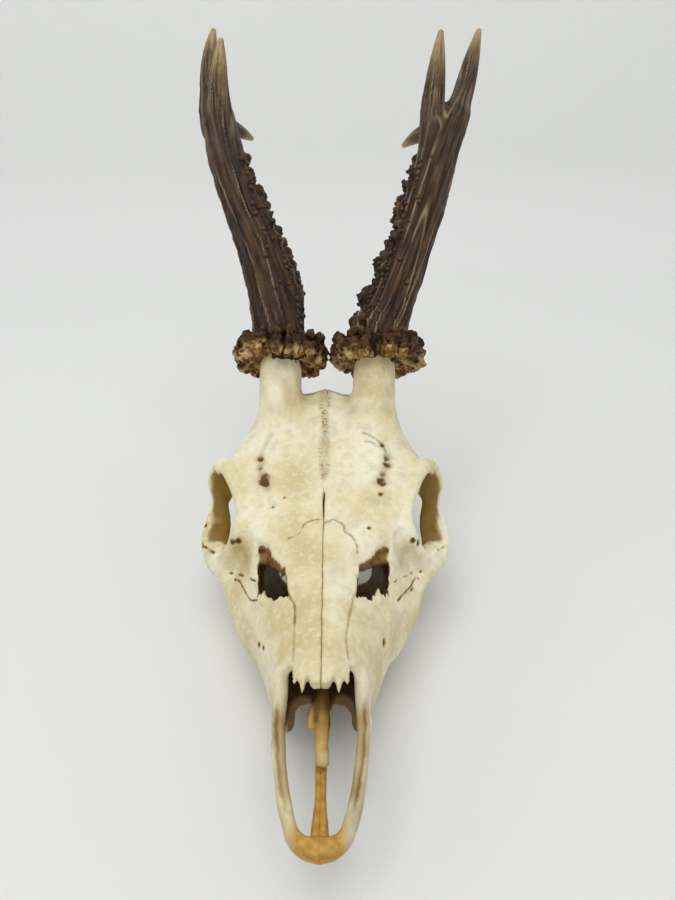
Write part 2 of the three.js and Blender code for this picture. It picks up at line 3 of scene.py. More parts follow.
import bpy
import numpy as np
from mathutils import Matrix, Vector


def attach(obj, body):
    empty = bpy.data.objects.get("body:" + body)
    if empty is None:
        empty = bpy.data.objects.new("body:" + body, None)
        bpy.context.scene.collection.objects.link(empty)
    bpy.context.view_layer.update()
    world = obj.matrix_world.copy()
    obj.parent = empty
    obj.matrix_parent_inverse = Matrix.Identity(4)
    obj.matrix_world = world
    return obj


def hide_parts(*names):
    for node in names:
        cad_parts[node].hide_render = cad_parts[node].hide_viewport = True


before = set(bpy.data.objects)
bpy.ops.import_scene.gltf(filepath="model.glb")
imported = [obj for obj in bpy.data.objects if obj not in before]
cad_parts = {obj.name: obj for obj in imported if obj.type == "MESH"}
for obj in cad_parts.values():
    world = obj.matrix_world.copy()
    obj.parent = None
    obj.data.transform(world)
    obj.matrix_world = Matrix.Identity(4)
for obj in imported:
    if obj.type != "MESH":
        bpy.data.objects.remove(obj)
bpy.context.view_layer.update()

# The skull is shaped in millimetres in its own frame: side (+ is the animal's left), back from
# the nose tip, up from the tooth sockets. It is then laid down as it rests on its back teeth.
lie = {"tilt": math.radians(10), "shift": (-7.5, -150.5, 28.4)}
fineness = {"bone": 0.5, "braincase": 0.8, "antler": 0.5, "coronet": 0.45}


def toFrame(points):
    side, back, up = np.asarray(points, float).T
    c, s = math.cos(lie["tilt"]), math.sin(lie["tilt"])
    laid = np.stack([side, back * c + up * s, up * c - back * s], 1)
    return (laid + lie["shift"]) * 0.001


def unit(values):
    return np.clip(values, 0, 1)


# Over a width, up from 0 at a start, or down to 0 at an end
def rise(values, start, width):
    return unit((values - start) / width)


def fall(values, end, width):
    return unit((end - values) / width)


def curveThrough(points, count, closed=False):
    p = np.array(points, float)
    if closed:
        p = np.vstack([p[-1:], p, p[:2]])
    else:
        p = np.vstack([2 * p[0] - p[1], p, 2 * p[-1] - p[-2]])
    t = np.linspace(0, len(p) - 3, count)
    i = np.minimum(t.astype(int), len(p) - 4)
    u = (t - i)[:, None]
    return 0.5 * (2 * p[i + 1] + (p[i + 2] - p[i]) * u
                  + (2 * p[i] - 5 * p[i + 1] + 4 * p[i + 2] - p[i + 3]) * u ** 2
                  + (3 * p[i + 1] - p[i] - 3 * p[i + 2] + p[i + 3]) * u ** 3)


def softMin(a, b, blend):
    if blend <= 0:
        return np.minimum(a, b)
    near = np.maximum(blend - np.abs(a - b), 0) / blend
    return np.minimum(a, b) - near * near * blend * 0.25


# A block of small cells that hold the distance to the surface, in which the shapes are made
class Block:
    def __init__(self, low, high, step):
        self.step = step
        self.low = np.array(low, float)
        count = np.ceil((np.array(high) - self.low) / step).astype(int) + 1
        self.field = np.full(count, 9.0, np.float32)

    def window(self, low, high):
        count = self.field.shape
        a = np.clip(np.floor((np.array(low) - self.low) / self.step).astype(int), 0, count)
        b = np.clip(np.ceil((np.array(high) - self.low) / self.step).astype(int) + 1, 0, count)
        cut = tuple(slice(int(i), int(j)) for i, j in zip(a, b))
        axes = [(self.low[i] + self.step * np.arange(a[i], b[i])).astype(np.float32) for i in range(3)]
        return cut, np.meshgrid(*axes, indexing="ij", sparse=True)

    def put(self, cut, distance, blend, carve):
        if self.field[cut].size == 0:
            return
        if carve:
            self.field[cut] = -softMin(-self.field[cut], distance, blend)
        else:
            self.field[cut] = softMin(self.field[cut], distance, blend)


def addBall(block, centre, radii, blend=2.0, carve=False):
    c, r = np.array(centre, float), np.array(radii, float)
    pad = r.max() + blend + 1.5
    cut, xyz = block.window(c - pad, c + pad)
    d = [xyz[i] - c[i] for i in range(3)]
    k0 = np.sqrt(sum((d[i] / r[i]) ** 2 for i in range(3)))
    k1 = np.sqrt(sum((d[i] / r[i] ** 2) ** 2 for i in range(3)))
    block.put(cut, (k0 * (k0 - 1) / np.maximum(k1, 1e-6)).astype(np.float32), blend, carve)


# Tube along points; sizes are half sizes across and along the lift direction
def addLimb(block, points, sizes, blend=2.0, carve=False, lift=(0, 0, 1), closed=False, steps=16):
    sizes = np.array([q if np.ndim(q) else (q, q) for q in sizes], float)
    path = curveThrough(np.hstack([np.array(points, float), sizes]), steps + 1, closed)
    p, s = path[:, :3], np.maximum(path[:, 3:], 0.2)
    big = s.max() + blend + 1.5
    whole, _ = block.window(p.min(0) - big, p.max(0) + big)
    distance = np.full(tuple(c.stop - c.start for c in whole), 9.0, np.float32)
    for a, b, sa, sb in zip(p[:-1], p[1:], s[:-1], s[1:]):
        along = b - a
        length = np.linalg.norm(along)
        if length < 1e-6:
            continue
        along = along / length
        across = np.cross(along, lift)
        across /= max(np.linalg.norm(across), 1e-6)
        raised = np.cross(across, along)
        pad = max(sa.max(), sb.max()) + blend + 1.5
        cut, q = block.window(np.minimum(a, b) - pad, np.maximum(a, b) + pad)
        if min(c.stop - c.start for c in cut) <= 0:
            continue
        d = [q[i] - a[i] for i in range(3)]
        t = unit(sum(d[i] * along[i] for i in range(3)) / length)
        v = [d[i] - t * length * along[i] for i in range(3)]
        rs, rl = sa[0] + t * (sb[0] - sa[0]), sa[1] + t * (sb[1] - sa[1])
        rm = np.minimum(rs, rl)
        u, w, e = (sum(v[i] * axis[i] for i in range(3)) / r
                   for axis, r in ((across, rs), (raised, rl), (along, rm)))
        k0 = np.sqrt(u * u + w * w + e * e)
        k1 = np.sqrt((u / rs) ** 2 + (w / rl) ** 2 + (e / rm) ** 2)
        found = np.where(k0 < 1e-3, -rm, k0 * (k0 - 1) / np.maximum(k1, 1e-6))
        local = tuple(slice(c.start - g.start, c.stop - g.start) for c, g in zip(cut, whole))
        distance[local] = np.minimum(distance[local], found)
    block.put(whole, distance, blend, carve)


# Tubes of a dictionary by name, each with its own blend
def addLimbs(block, piece, blends, lift=(0, 0, 1)):
    for name, blend in blends.items():
        addLimb(block, piece[name], piece[name + "Sizes"], blend, lift=lift)


# Signed distance to a closed outline in a plane, less than 0 inside
def outlineSide(outline, u, v):
    o = np.array(outline, float)
    shape = np.broadcast_shapes(u.shape, v.shape)
    far, inside = np.full(shape, 400.0, np.float32), np.zeros(shape, bool)
    for a, b in zip(o, np.roll(o, -1, 0)):
        e = b - a
        t = unit(((u - a[0]) * e[0] + (v - a[1]) * e[1]) / (e @ e + 1e-9))
        np.minimum(far, (u - a[0] - t * e[0]) ** 2 + (v - a[1] - t * e[1]) ** 2, out=far)
        inside ^= ((a[1] > v) != (b[1] > v)) & (u < e[0] * (v - a[1]) / (e[1] + 1e-12) + a[0])
    far = np.sqrt(far)
    far[inside] *= -1
    return far


# Body through sections: (back, top, shoulder, side, lower, bottom), each of the middle
# three a pair of half width and height
def addLoft(block, sections, blend=2.0, carve=False, ring=36):
    ys = np.array([s[0] for s in sections], float)
    half = np.array([[(0, s[1]), *s[2:5], (0, s[5])] for s in sections], float)
    slope = np.gradient(half, ys, axis=0)
    pad = 4.0
    low = (-1e3, ys[0] - pad, half[..., 1].min() - pad)
    high = (half[..., 0].max() + pad, ys[-1] + pad, half[..., 1].max() + pad)
    cut, (gx, gy, gz) = block.window(low, high)
    x, z = gx.ravel()[:, None], gz.ravel()[None, :]
    out = np.empty(tuple(c.stop - c.start for c in cut), np.float32)
    for n, y in enumerate(gy.ravel()):
        q = min(max(y, ys[0]), ys[-1])
        i = min(int(np.searchsorted(ys, q, side="right")) - 1, len(ys) - 2)
        h = ys[i + 1] - ys[i]
        t = (q - ys[i]) / h
        points = ((2 * t ** 3 - 3 * t ** 2 + 1) * half[i] + (t ** 3 - 2 * t ** 2 + t) * h * slope[i]
                  + (3 * t ** 2 - 2 * t ** 3) * half[i + 1] + (t ** 3 - t ** 2) * h * slope[i + 1])
        loop = curveThrough(np.vstack([points, points[1:-1][::-1] * (-1, 1)]), ring + 1, True)[:-1]
        d = outlineSide(loop, x, z)
        past = max(ys[0] - y, y - ys[-1])
        if past > 0:
            out[:, n] = np.where(d > 0, np.sqrt(d * d + past * past), past)
        else:
            out[:, n] = np.maximum(d, past)
    block.put(cut, out, blend, carve)


# Straight up from an outline; ragged is how far its edge wanders
def addPrism(block, outline, low, high, blend=0.5, carve=False, ragged=0.0):
    o = np.array(outline, float)
    pad = blend + 1.5 + ragged
    cut, (x, y, z) = block.window((*(o.min(0) - pad), low - pad), (*(o.max(0) + pad), high + pad))
    side = outlineSide(outline, x, y)
    if ragged:
        side = side + ragged * grain(x, y, 0 * x, 1.1, 17) + 0.5 * ragged * grain(x, y, 0 * x, 0.6, 18)
    block.put(cut, np.maximum(side, np.maximum(low - z, z - high)), blend, carve)


# Smooth random values from -1 to 1; size is the distance over which they change
def grain(x, y, z, size, seed=0):
    sizes = size if np.ndim(size) else (size,) * 3
    cell, part = [], []
    for q, s in zip((x, y, z), sizes):
        q = np.asarray(q, np.float32) / np.float32(s)
        floor = np.floor(q)
        f = q - floor
        cell.append(floor.astype(np.int64))
        part.append(f * f * (3 - 2 * f))
    total = 0
    for corner in range(8):
        bits = [(corner >> k) & 1 for k in range(3)]
        mix = ((cell[0] + bits[0]) * 73856093) ^ ((cell[1] + bits[1]) * 19349663)
        mix = mix ^ ((cell[2] + bits[2]) * 83492791) ^ (seed * 2654435761)
        mix = (mix ^ (mix >> 13)) * 1274126177 & 0xFFFFFFFF
        value = ((mix ^ (mix >> 16)) & 0xFFFF) / 32767.5 - 1
        weight = 1
        for k in range(3):
            weight = weight * (part[k] if bits[k] else 1 - part[k])
        total = total + weight * value
    return total


# Closed mesh of quads round the cells below 0
def netOf(field, low, step):
    inside = field < 0
    nx, ny, nz = field.shape
    corners = [(i, j, k) for i in (0, 1) for j in (0, 1) for k in (0, 1)]
    full = sum(inside[i:nx - 1 + i, j:ny - 1 + j, k:nz - 1 + k].astype(np.uint8) for i, j, k in corners)
    mixed = (full > 0) & (full < 8)
    cells = np.argwhere(mixed)
    number = np.full(mixed.shape, -1, np.int64)
    number[mixed] = np.arange(len(cells))
    ci, cj, ck = cells.T
    sums, hits = np.zeros((len(cells), 3)), np.zeros(len(cells))
    for a in corners:
        for axis in range(3):
            if a[axis]:
                continue
            b = list(a)
            b[axis] = 1
            fa = field[ci + a[0], cj + a[1], ck + a[2]]
            fb = field[ci + b[0], cj + b[1], ck + b[2]]
            crosses = (fa < 0) != (fb < 0)
            place = np.tile(np.array(a, float), (len(cells), 1))
            place[:, axis] += np.where(crosses, fa / (fa - fb + 1e-20), 0)
            sums += place * crosses[:, None]
            hits += crosses
    points = (cells + sums / hits[:, None]) * step + np.array(low)
    quads = []
    for axis in range(3):
        others = [k for k in range(3) if k != axis]
        first, second = [slice(1, -1)] * 3, [slice(1, -1)] * 3
        first[axis], second[axis] = slice(0, -1), slice(1, None)
        a, b = inside[tuple(first)], inside[tuple(second)]
        base = np.argwhere(a != b)
        outward = a[a != b] if axis != 1 else ~a[a != b]
        base[:, others[0]] += 1
        base[:, others[1]] += 1
        quad = []
        for d0, d1 in ((-1, -1), (0, -1), (0, 0), (-1, 0)):
            c = base.copy()
            c[:, others[0]] += d0
            c[:, others[1]] += d1
            quad.append(number[c[:, 0], c[:, 1], c[:, 2]])
        quad = np.array(quad).T
        quad[~outward] = quad[~outward][:, ::-1]
        quads.append(quad)
    return points, np.vstack(quads)


def keepLargest(points, quads):
    label = np.arange(len(points))
    while True:
        lowest = np.repeat(label[quads].min(1), 4)
        new = label.copy()
        np.minimum.at(new, quads.ravel(), lowest)
        new = new[new]
        if (new == label).all():
            break
        label = new
    keep = label == np.bincount(label).argmax()
    number = np.cumsum(keep) - 1
    return points[keep], number[quads[keep[quads[:, 0]]]]


def makePiece(name, points, quads, material, nodes, tones):
    mesh = bpy.data.meshes.new(name)
    mesh.vertices.add(len(points))
    mesh.vertices.foreach_set("co", toFrame(points).astype(np.float32).ravel())
    mesh.loops.add(quads.size)
    mesh.loops.foreach_set("vertex_index", quads.astype(np.int32).ravel())
    mesh.polygons.add(len(quads))
    mesh.polygons.foreach_set("loop_start", np.arange(0, quads.size, 4, dtype=np.int32))
    mesh.polygons.foreach_set("use_smooth", np.ones(len(quads), bool))
    mesh.update(calc_edges=True)
    for key, values in tones.items():
        layer = mesh.attributes.new(key, "FLOAT", "POINT")
        layer.data.foreach_set("value", np.asarray(values, np.float32))
    mesh.materials.append(material)
    piece = bpy.data.objects.new(name, mesh)
    bpy.context.scene.collection.objects.link(piece)
    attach(piece, "root")
    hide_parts(*nodes)
    return piece


def nodeMaterial(name):
    material = bpy.data.materials.new(name)
    material.use_nodes = True
    tree = material.node_tree
    return material, tree, tree.nodes["Principled BSDF"]


def objectNoise(tree, scale, detail=4.0, stretch=(1, 1, 1)):
    place = tree.nodes.new("ShaderNodeTexCoord")
    mapping = tree.nodes.new("ShaderNodeMapping")
    mapping.inputs["Scale"].default_value = stretch
    noise = tree.nodes.new("ShaderNodeTexNoise")
    noise.inputs["Scale"].default_value = scale
    noise.inputs["Detail"].default_value = detail
    tree.links.new(place.outputs["Object"], mapping.inputs["Vector"])
    tree.links.new(mapping.outputs["Vector"], noise.inputs["Vector"])
    return noise.outputs["Fac"]


def attribute(tree, name):
    node = tree.nodes.new("ShaderNodeAttribute")
    node.attribute_name = name
    return node.outputs["Fac"]


def ramp(tree, value, stops):
    node = tree.nodes.new("ShaderNodeValToRGB")
    elements = node.color_ramp.elements
    for element, (place, colour) in zip(elements, (stops[0], stops[-1])):
        element.position, element.color = place, (*colour, 1)
    for place, colour in stops[1:-1]:
        elements.new(place).color = (*colour, 1)
    tree.links.new(value, node.inputs["Fac"])
    return node.outputs["Color"]


def mixed(tree, kind, amount, a, b):
    node = tree.nodes.new("ShaderNodeMix")
    node.data_type = "RGBA"
    node.blend_type = kind
    for socket, value in ((node.inputs["Factor"], amount), (node.inputs[6], a), (node.inputs[7], b)):
        if isinstance(value, bpy.types.NodeSocket):
            tree.links.new(value, socket)
        elif isinstance(value, tuple):
            socket.default_value = (*value, 1)
        else:
            socket.default_value = value
    return node.outputs[2]


# Colour laid over another where a value from 0 to 1 says so
def over(tree, value, colour, laid):
    return mixed(tree, "MIX", value, colour, laid)


def times(tree, value, factor):
    node = tree.nodes.new("ShaderNodeMath")
    node.operation = "MULTIPLY"
    tree.links.new(value, node.inputs[0])
    node.inputs[1].default_value = factor
    return node.outputs[0]


# From 0 to 1 between two values; the first may be the higher
def grey(tree, value, low, high):
    stops = [(low, (0, 0, 0)), (high, (1, 1, 1))]
    return ramp(tree, value, stops if low < high else stops[::-1])


# The end of each material: its colour, gloss, and fine bumps as (scale, detail, strength, distance)
def finishWith(tree, shader, colour, finish):
    tree.links.new(colour, shader.inputs["Base Color"])
    shader.inputs["Roughness"].default_value = finish["roughness"]
    shader.inputs["Specular IOR Level"].default_value = finish["shine"]
    scale, detail, strength, distance = finish["bump"]
    bump = tree.nodes.new("ShaderNodeBump")
    bump.inputs["Strength"].default_value = strength
    bump.inputs["Distance"].default_value = distance
    tree.links.new(objectNoise(tree, scale, detail), bump.inputs["Height"])
    tree.links.new(bump.outputs["Normal"], shader.inputs["Normal"])


# The olive colour is laid as painted shade, and the inner colour as painted shade inside the skull; in the
# aged bone the inner colour is also the darkest tone of its patches
boneFinish = {
    "cream": (0.82, 0.74, 0.47), "ivory": (0.68, 0.57, 0.31), "chalk": (0.92, 0.88, 0.68),
    "sage": (0.60, 0.56, 0.36), "tan": (0.36, 0.24, 0.09), "edge": (0.38, 0.24, 0.075),
    "inner": (0.160, 0.094, 0.035), "stainAndShade": (0.060, 0.028, 0.007), "rust": (0.115, 0.044, 0.011),
    "amber": (0.60, 0.36, 0.085), "deepAmber": (0.45, 0.24, 0.036), "oliveShade": (0.25, 0.148, 0.016),
    "patch": 45, "mottle": 160, "fleck": 480, "pore": 1500, "edgeReach": 1.7,
    "roughness": 0.5, "shine": 0.2, "bump": (700, 8, 0.5, 0.0004),
}


def makeBone():
    material, tree, shader = nodeMaterial("bone")
    b = boneFinish
    patches = objectNoise(tree, b["patch"], 6)
    mottle = objectNoise(tree, b["mottle"], 6)
    flecks = objectNoise(tree, b["fleck"], 4)
    pores = objectNoise(tree, b["pore"], 2)
    colour = ramp(tree, patches, [(0.34, b["ivory"]), (0.47, b["cream"]), (0.64, b["chalk"])])
    for pattern, low, high, amount, name in (
            (mottle, 0.50, 0.66, 0.5, "ivory"), (mottle, 0.46, 0.34, 0.45, "sage"),
            (flecks, 0.52, 0.66, 0.4, "chalk"), (pores, 0.66, 0.75, 0.5, "tan")):
        colour = over(tree, times(tree, grey(tree, pattern, low, high), amount), colour, b[name])
    # Painted shade in olive, then tan
    for name in ("oliveShade", "tan"):
        colour = over(tree, attribute(tree, name), colour, b[name])
    depth = ramp(tree, flecks, [(0.35, b["amber"]), (0.65, b["deepAmber"])])
    colour = over(tree, attribute(tree, "amber"), colour, depth)
    # Painted shade inside the skull, the brown deep in the vacuity, and stains, each over a brown fringe
    for name in ("inner", "rust", "stainAndShade"):
        colour = over(tree, times(tree, attribute(tree, name), b["edgeReach"]), colour, b["edge"])
        colour = over(tree, attribute(tree, name), colour, b[name])
    finishWith(tree, shader, colour, b)
    return material


antlerFinish = {
    "furrow": (0.012, 0.0062, 0.0031), "body": (0.050, 0.032, 0.021), "umber": (0.082, 0.045, 0.022),
    "ridge": (0.40, 0.29, 0.16), "grey": (0.088, 0.064, 0.044), "tip": (0.54, 0.40, 0.20), "patch": 60,
    "streaks": [(0.2, (0.62, 0.58, 0.54)), (0.55, (0.93, 0.91, 0.89)), (0.85, (1.22, 1.14, 1.02))],
    "streakAmount": 0.85, "roughness": 0.42, "shine": 0.13, "bump": (800, 6, 0.5, 0.0004),
}


def makeAntler():
    material, tree, shader = nodeMaterial("antler")
    a = antlerFinish
    patches = objectNoise(tree, a["patch"], 5)
    colour = ramp(tree, patches, [(0.35, a["body"]), (0.5, a["umber"]), (0.68, a["body"])])
    colour = over(tree, attribute(tree, "grey"), colour, a["grey"])
    streaked = ramp(tree, attribute(tree, "streak"), a["streaks"])
    colour = mixed(tree, "MULTIPLY", a["streakAmount"], colour, streaked)
    for name in ("furrow", "ridge", "tip"):
        colour = over(tree, attribute(tree, name), colour, a[name])
    finishWith(tree, shader, colour, a)
    return material


burrFinish = {
    "dark": (0.022, 0.010, 0.004), "brown": (0.115, 0.053, 0.018), "orange": (0.27, 0.125, 0.032),
    "cream": (0.58, 0.43, 0.19), "patch": 260,
    "roughness": 0.42, "shine": 0.14, "bump": (900, 6, 0.6, 0.0005),
}


def makeBurr():
    material, tree, shader = nodeMaterial("burr")
    b = burrFinish
    patches = objectNoise(tree, b["patch"], 6)
    dark = ramp(tree, patches, [(0.40, b["dark"]), (0.62, b["brown"])])
    light = ramp(tree, patches, [(0.36, b["brown"]), (0.46, b["orange"]), (0.6, b["cream"])])
    colour = over(tree, attribute(tree, "pale"), dark, light)
    colour = over(tree, attribute(tree, "furrow"), colour, b["dark"])
    finishWith(tree, shader, colour, b)
    return material


# Dried, yellow bone in the nose; its colours are among the bone's
agedFinish = {
    "patch": 170, "stretch": (1, 0.35, 1), "pale": 0.75, "stainAndShade": 0.8,
    "roughness": 0.45, "shine": 0.2, "bump": (600, 6, 0.4, 0.0004),
}


def makeAged():
    material, tree, shader = nodeMaterial("aged_bone")
    a, b = agedFinish, boneFinish
    patches = objectNoise(tree, a["patch"], 5, a["stretch"])
    colour = ramp(tree, patches, [(0.36, b["inner"]), (0.46, b["deepAmber"]), (0.62, b["amber"])])
    # Ivory where pale, and the inner brown as painted shade where the vomer lies further back under the
    # nasals
    for name, laid in (("pale", b["ivory"]), ("stainAndShade", b["inner"])):
        colour = over(tree, times(tree, attribute(tree, name), a[name]), colour, laid)
    finishWith(tree, shader, colour, a)
    return material


bone, agedBone, antlerHorn, burr = makeBone(), makeAged(), makeAntler(), makeBurr()
sides = {"left": 1, "right": -1}

faceSections = [
    (43.5, 37, (8.6, 34), (13.8, 26), (14.4, 10), 6),
    (50, 39.4, (9.5, 36), (16, 25), (15.2, 3), 5.5),
    (60, 42.3, (11, 38.6), (20.5, 23), (16.4, -0.5), 5),
    (70, 45.6, (13, 41.5), (25.5, 21), (18, -0.5), 5.5),
    (80, 49, (17, 44.5), (30.5, 19.5), (21.5, -0.5), 6.5),
    (90, 52.6, (22, 48), (34, 21), (26.5, -0.5), 7),
    (100, 57, (26, 51), (33, 23), (28.3, -0.5), 7.5),
    (110, 60, (25, 54), (28, 22), (28, 0), 8),
    (118, 62, (22, 55), (24, 26), (25, 5), 12),
]
nasalSections = [
    (34, 33.6, (4.2, 33), (8, 29.2), (5, 30.2), 31.2),
    (38, 35.2, (4.6, 34.6), (8.8, 30.6), (5, 31.6), 32.4),
    (48, 38.9, (5, 38.1), (9.4, 33.8), (5, 35), 36),
    (60, 42.6, (5.4, 41.8), (10, 37.6), (5, 38.6), 39.6),
]
frontalSections = [
    (82, 50, (13, 46.5), (10, 38), (5, 36.5), 36),
    (92, 54, (23.5, 49.5), (19, 39), (8, 36.5), 36),
    (102, 59, (30, 53.5), (24, 44), (9, 38.5), 38),
    (112, 64.2, (33.8, 59.6), (27, 48), (9, 40.5), 40),
    (122, 69.2, (37.2, 62), (27, 50), (10, 41), 40),
    (130, 73, (37.5, 62.5), (24, 50), (12, 42), 40),
    (138, 76.4, (30.5, 69), (25, 50), (12, 42), 40),
    (146, 79.2, (25, 74), (26, 54), (12, 42), 40),
    (153, 80, (20, 76.5), (25, 57), (12, 42), 40),
]
brainSections = [
    (104, 55, (12, 50), (15, 42), (12, 32), 30),
    (115, 64, (14, 60), (18, 45), (14, 29), 25),
    (130, 72, (20, 66), (25, 46), (19, 25), 20),
    (145, 78.5, (24, 71), (30, 48), (22, 23), 18),
    (160, 77, (24, 69), (31.5, 47), (22, 23), 17),
    (175, 71, (23, 63), (31, 44), (22, 23), 17.5),
    (186, 64, (20, 57), (27, 40), (20, 24), 19),
    (193, 58, (15, 51), (22, 38), (14, 27), 22),
    (196, 54, (10, 48), (14, 38), (9, 30), 27),
]
cavitySections = [
    (28, 30, (7.5, 26), (11, 20), (11.4, 12), 11),
    (43, 34, (7.5, 30.5), (12.4, 24), (12.6, 10), 8.5),
    (52, 37, (8, 33), (14.2, 24), (13, 9.5), 8.5),
    (62, 40.2, (9, 36.5), (17.6, 24), (13.4, 9.5), 8.5),
    (72, 43.4, (11, 39.5), (20.5, 25), (14, 9.5), 9),
    (82, 46.4, (14.5, 42.5), (22.5, 26), (15, 9.5), 10),
    (94, 51, (17, 47), (22, 28), (16, 10), 11),
    (106, 50, (13, 44), (20, 26), (17, 12), 12),
    (124, 28, (10, 26), (18, 18), (16, 8), 6),
]
orbit = {
    "centre": (43, 113, 43.5), "radii": (27, 17.5, 15), "lift": (0, -0.8, 0.6),
    "rim": [(32, 97, 43.5), (30.6, 100.5, 50), (31.6, 106, 55), (34.5, 113, 59), (38.2, 121, 61.5),
            (42.3, 129, 57.5), (43.2, 130.5, 49), (43.8, 130, 41), (44.3, 126.5, 34), (45, 119, 28.5),
            (42.8, 110, 27), (38, 101, 32)],
    "rimSizes": [(2.5, 2.5), (2.2, 2.2), (2.2, 2.2), (2.4, 2.4), (3.2, 2.6), (3.4, 2.4),
                 (5.2, 2.3), (3.6, 2.1), (5.2, 2.3), (5.6, 2.4), (4.4, 2.6), (3, 2.6)],
}
arch = {
    "cheek": [(40.5, 108, 26.5), (34, 97, 22.5), (29, 86, 17), (24, 76, 13)],
    "cheekSizes": [4.6, 4.2, 3.6, 3],
    "arch": [(46.5, 122, 29.5), (46, 135, 32), (44, 148, 35.5), (38.5, 160, 38), (30.5, 171, 40)],
    "archSizes": [(2.2, 4.2), (2.2, 4.2), (2.2, 4.2), (2.4, 4), (3.5, 4)],
}
crest = {  # between the pedicles
    "path": [(0, 151.5, 80.4), (4, 151.5, 79.2), (9, 151, 76.8), (12, 151, 76.6)],
    "sizes": [2.3, 1.9, 1.3, 1.2],
}
pedicles = {
    "left": [(19, 134, 62), (19.6, 141, 74), (20, 148.5, 86), (20.6, 156.5, 97)],
    "right": [(18, 134, 62), (18.2, 141, 74), (18.4, 148.5, 86), (18.5, 156.5, 97)],
    "radii": [12.5, 9.6, 8.6, 8.6],
}
noseArms = {
    "upper": [(12.4, 45, 27), (12.5, 40, 23), (12.8, 32, 18), (12, 24, 13), (10.5, 17, 9.2),
              (9, 11.8, 6.8), (7.3, 8, 4.9), (4.2, 5.9, 3.6), (0, 5.8, 3)],
    "upperSizes": [(2.3, 3.2), (2.2, 3), (2, 2.8), (2, 2.5), (1.9, 2.3), (1.8, 2.2), (1.9, 2.2),
                   (2.2, 2.2), (2.8, 2.4)],
    "lower": [(14, 46, 8), (13.2, 38, 7.6), (12.6, 30, 5.8), (11.4, 22, 3.6), (9.8, 15.5, 1.8),
              (7.8, 10, 0.6), (5, 7.4, 0), (2.6, 6.5, -0.4), (0, 6.35, -0.5)],
    "lowerSizes": [(2.2, 4.5), (1.9, 4), (1.9, 3.4), (1.9, 2.8), (1.9, 2.6), (1.9, 2.4), (2.2, 2.2),
                   (2.6, 2), (3, 2)],
    "web": [(13.4, 44, 17), (12.9, 36, 14), (12.4, 28, 10.5), (11.2, 21, 7.2)],
    "webSizes": [(1.2, 8), (1.2, 6), (1.3, 4.5), (1.4, 3)],
    "rod": [(1.2, 8, 0.8), (0.8, 18, 2.2), (0.6, 30, 4.5), (0.8, 46, 8)],
    "rodSizes": [(1.5, 1.8), (1.2, 1.5), (1.2, 1.5), (1.6, 2)],
}
# In the palate, as out and back
fissure = [(2.4, 30), (10.8, 30), (11.2, 46), (10.4, 53), (7.6, 56.5), (4.2, 55.5), (2.4, 51)]
occiput = {
    "crest": [(0, 195.5, 56), (15, 191, 52.5), (24.5, 184, 44), (28, 178, 36)],
    "crestSizes": [(3, 2.5), (3, 2.2), (3, 2.2), (3, 2)],
    "condyle": ((9.5, 191, 27), (6, 7.5, 8.5)), "magnum": ((0, 196, 34), (8.5, 18, 8.5)),
    "jugular": [(20, 182, 30), (20.5, 181.5, 17), (19.5, 181, 3.8)],
    "jugularSizes": [(4, 7), (3, 5), (2.2, 2.8)],
    "bulla": ((14, 166, 17), (6, 10, 9)), "ear": [(22, 166, 27), (30, 170, 31)], "earSizes": [4.5, 3.4],
    "pterygoid": [(10, 118, 26), (10, 125, 14), (9, 129, 6)],
    "pterygoidSizes": [(1.4, 6), (1.3, 4), (1.2, 2)],
}
vacuity = {
    "right": [(23.4, 90.5), (23.9, 85), (22.7, 77), (20.7, 74.4), (15.6, 69.4), (11.8, 66.8),
              (11.2, 68.5), (12.5, 73.8), (13.2, 77), (15.6, 80.4), (18, 83.7), (19.9, 86.6)],
    "left": [(23.8, 90.2), (24, 85), (22.8, 77), (21.4, 74.8), (15.9, 70), (11.2, 66.6), (11.3, 69.6),
             (12.3, 76.3), (13.3, 79), (15.8, 81.6), (18.7, 84.9), (21.3, 87.9)],
    "spikeRight": [(20.4, 73, 34), (20.6, 75, 34.6), (20.2, 77, 35.4)],
    "spikeLeft": [(18.6, 72, 35), (18.6, 74.4, 35.8), (19, 76.6, 36.7)], "spikeSizes": [1.7, 1, 0.4],
    "scroll": [(23.5, 90, 40), (19.5, 87, 41.5), (16.5, 85.5, 41)], "scrollSizes": [2.6, 2.4, 1.6],
}
# Thin wall in front of the orbit
lacrimal = [((29.5, 97.2, 43.5), (5, 3, 7.2)), ((32.4, 99, 35.5), (4.6, 3, 6.5))]
teeth = {  # back, out, length, width
    "row": [(60, 12.6, 8.6, 7), (68.6, 13.4, 8.6, 7.8), (77.3, 15.6, 9, 9),
            (88, 19.6, 12, 10.5), (100.3, 22.2, 12.6, 11.5), (112.6, 22.6, 12, 11)],
    "root": 2, "crown": -8.4, "flare": 0.6, "rootTaper": (0.5, 0.5), "crownTaper": (0.44, 0.47),
}
antlerAxis = (0, math.cos(math.radians(52)), math.sin(math.radians(52)))
coronetAt = {"height": 9.5, "inset": 1, "above": 84, "left": (21.4, 157, 97), "right": (18.5, 157, 97)}


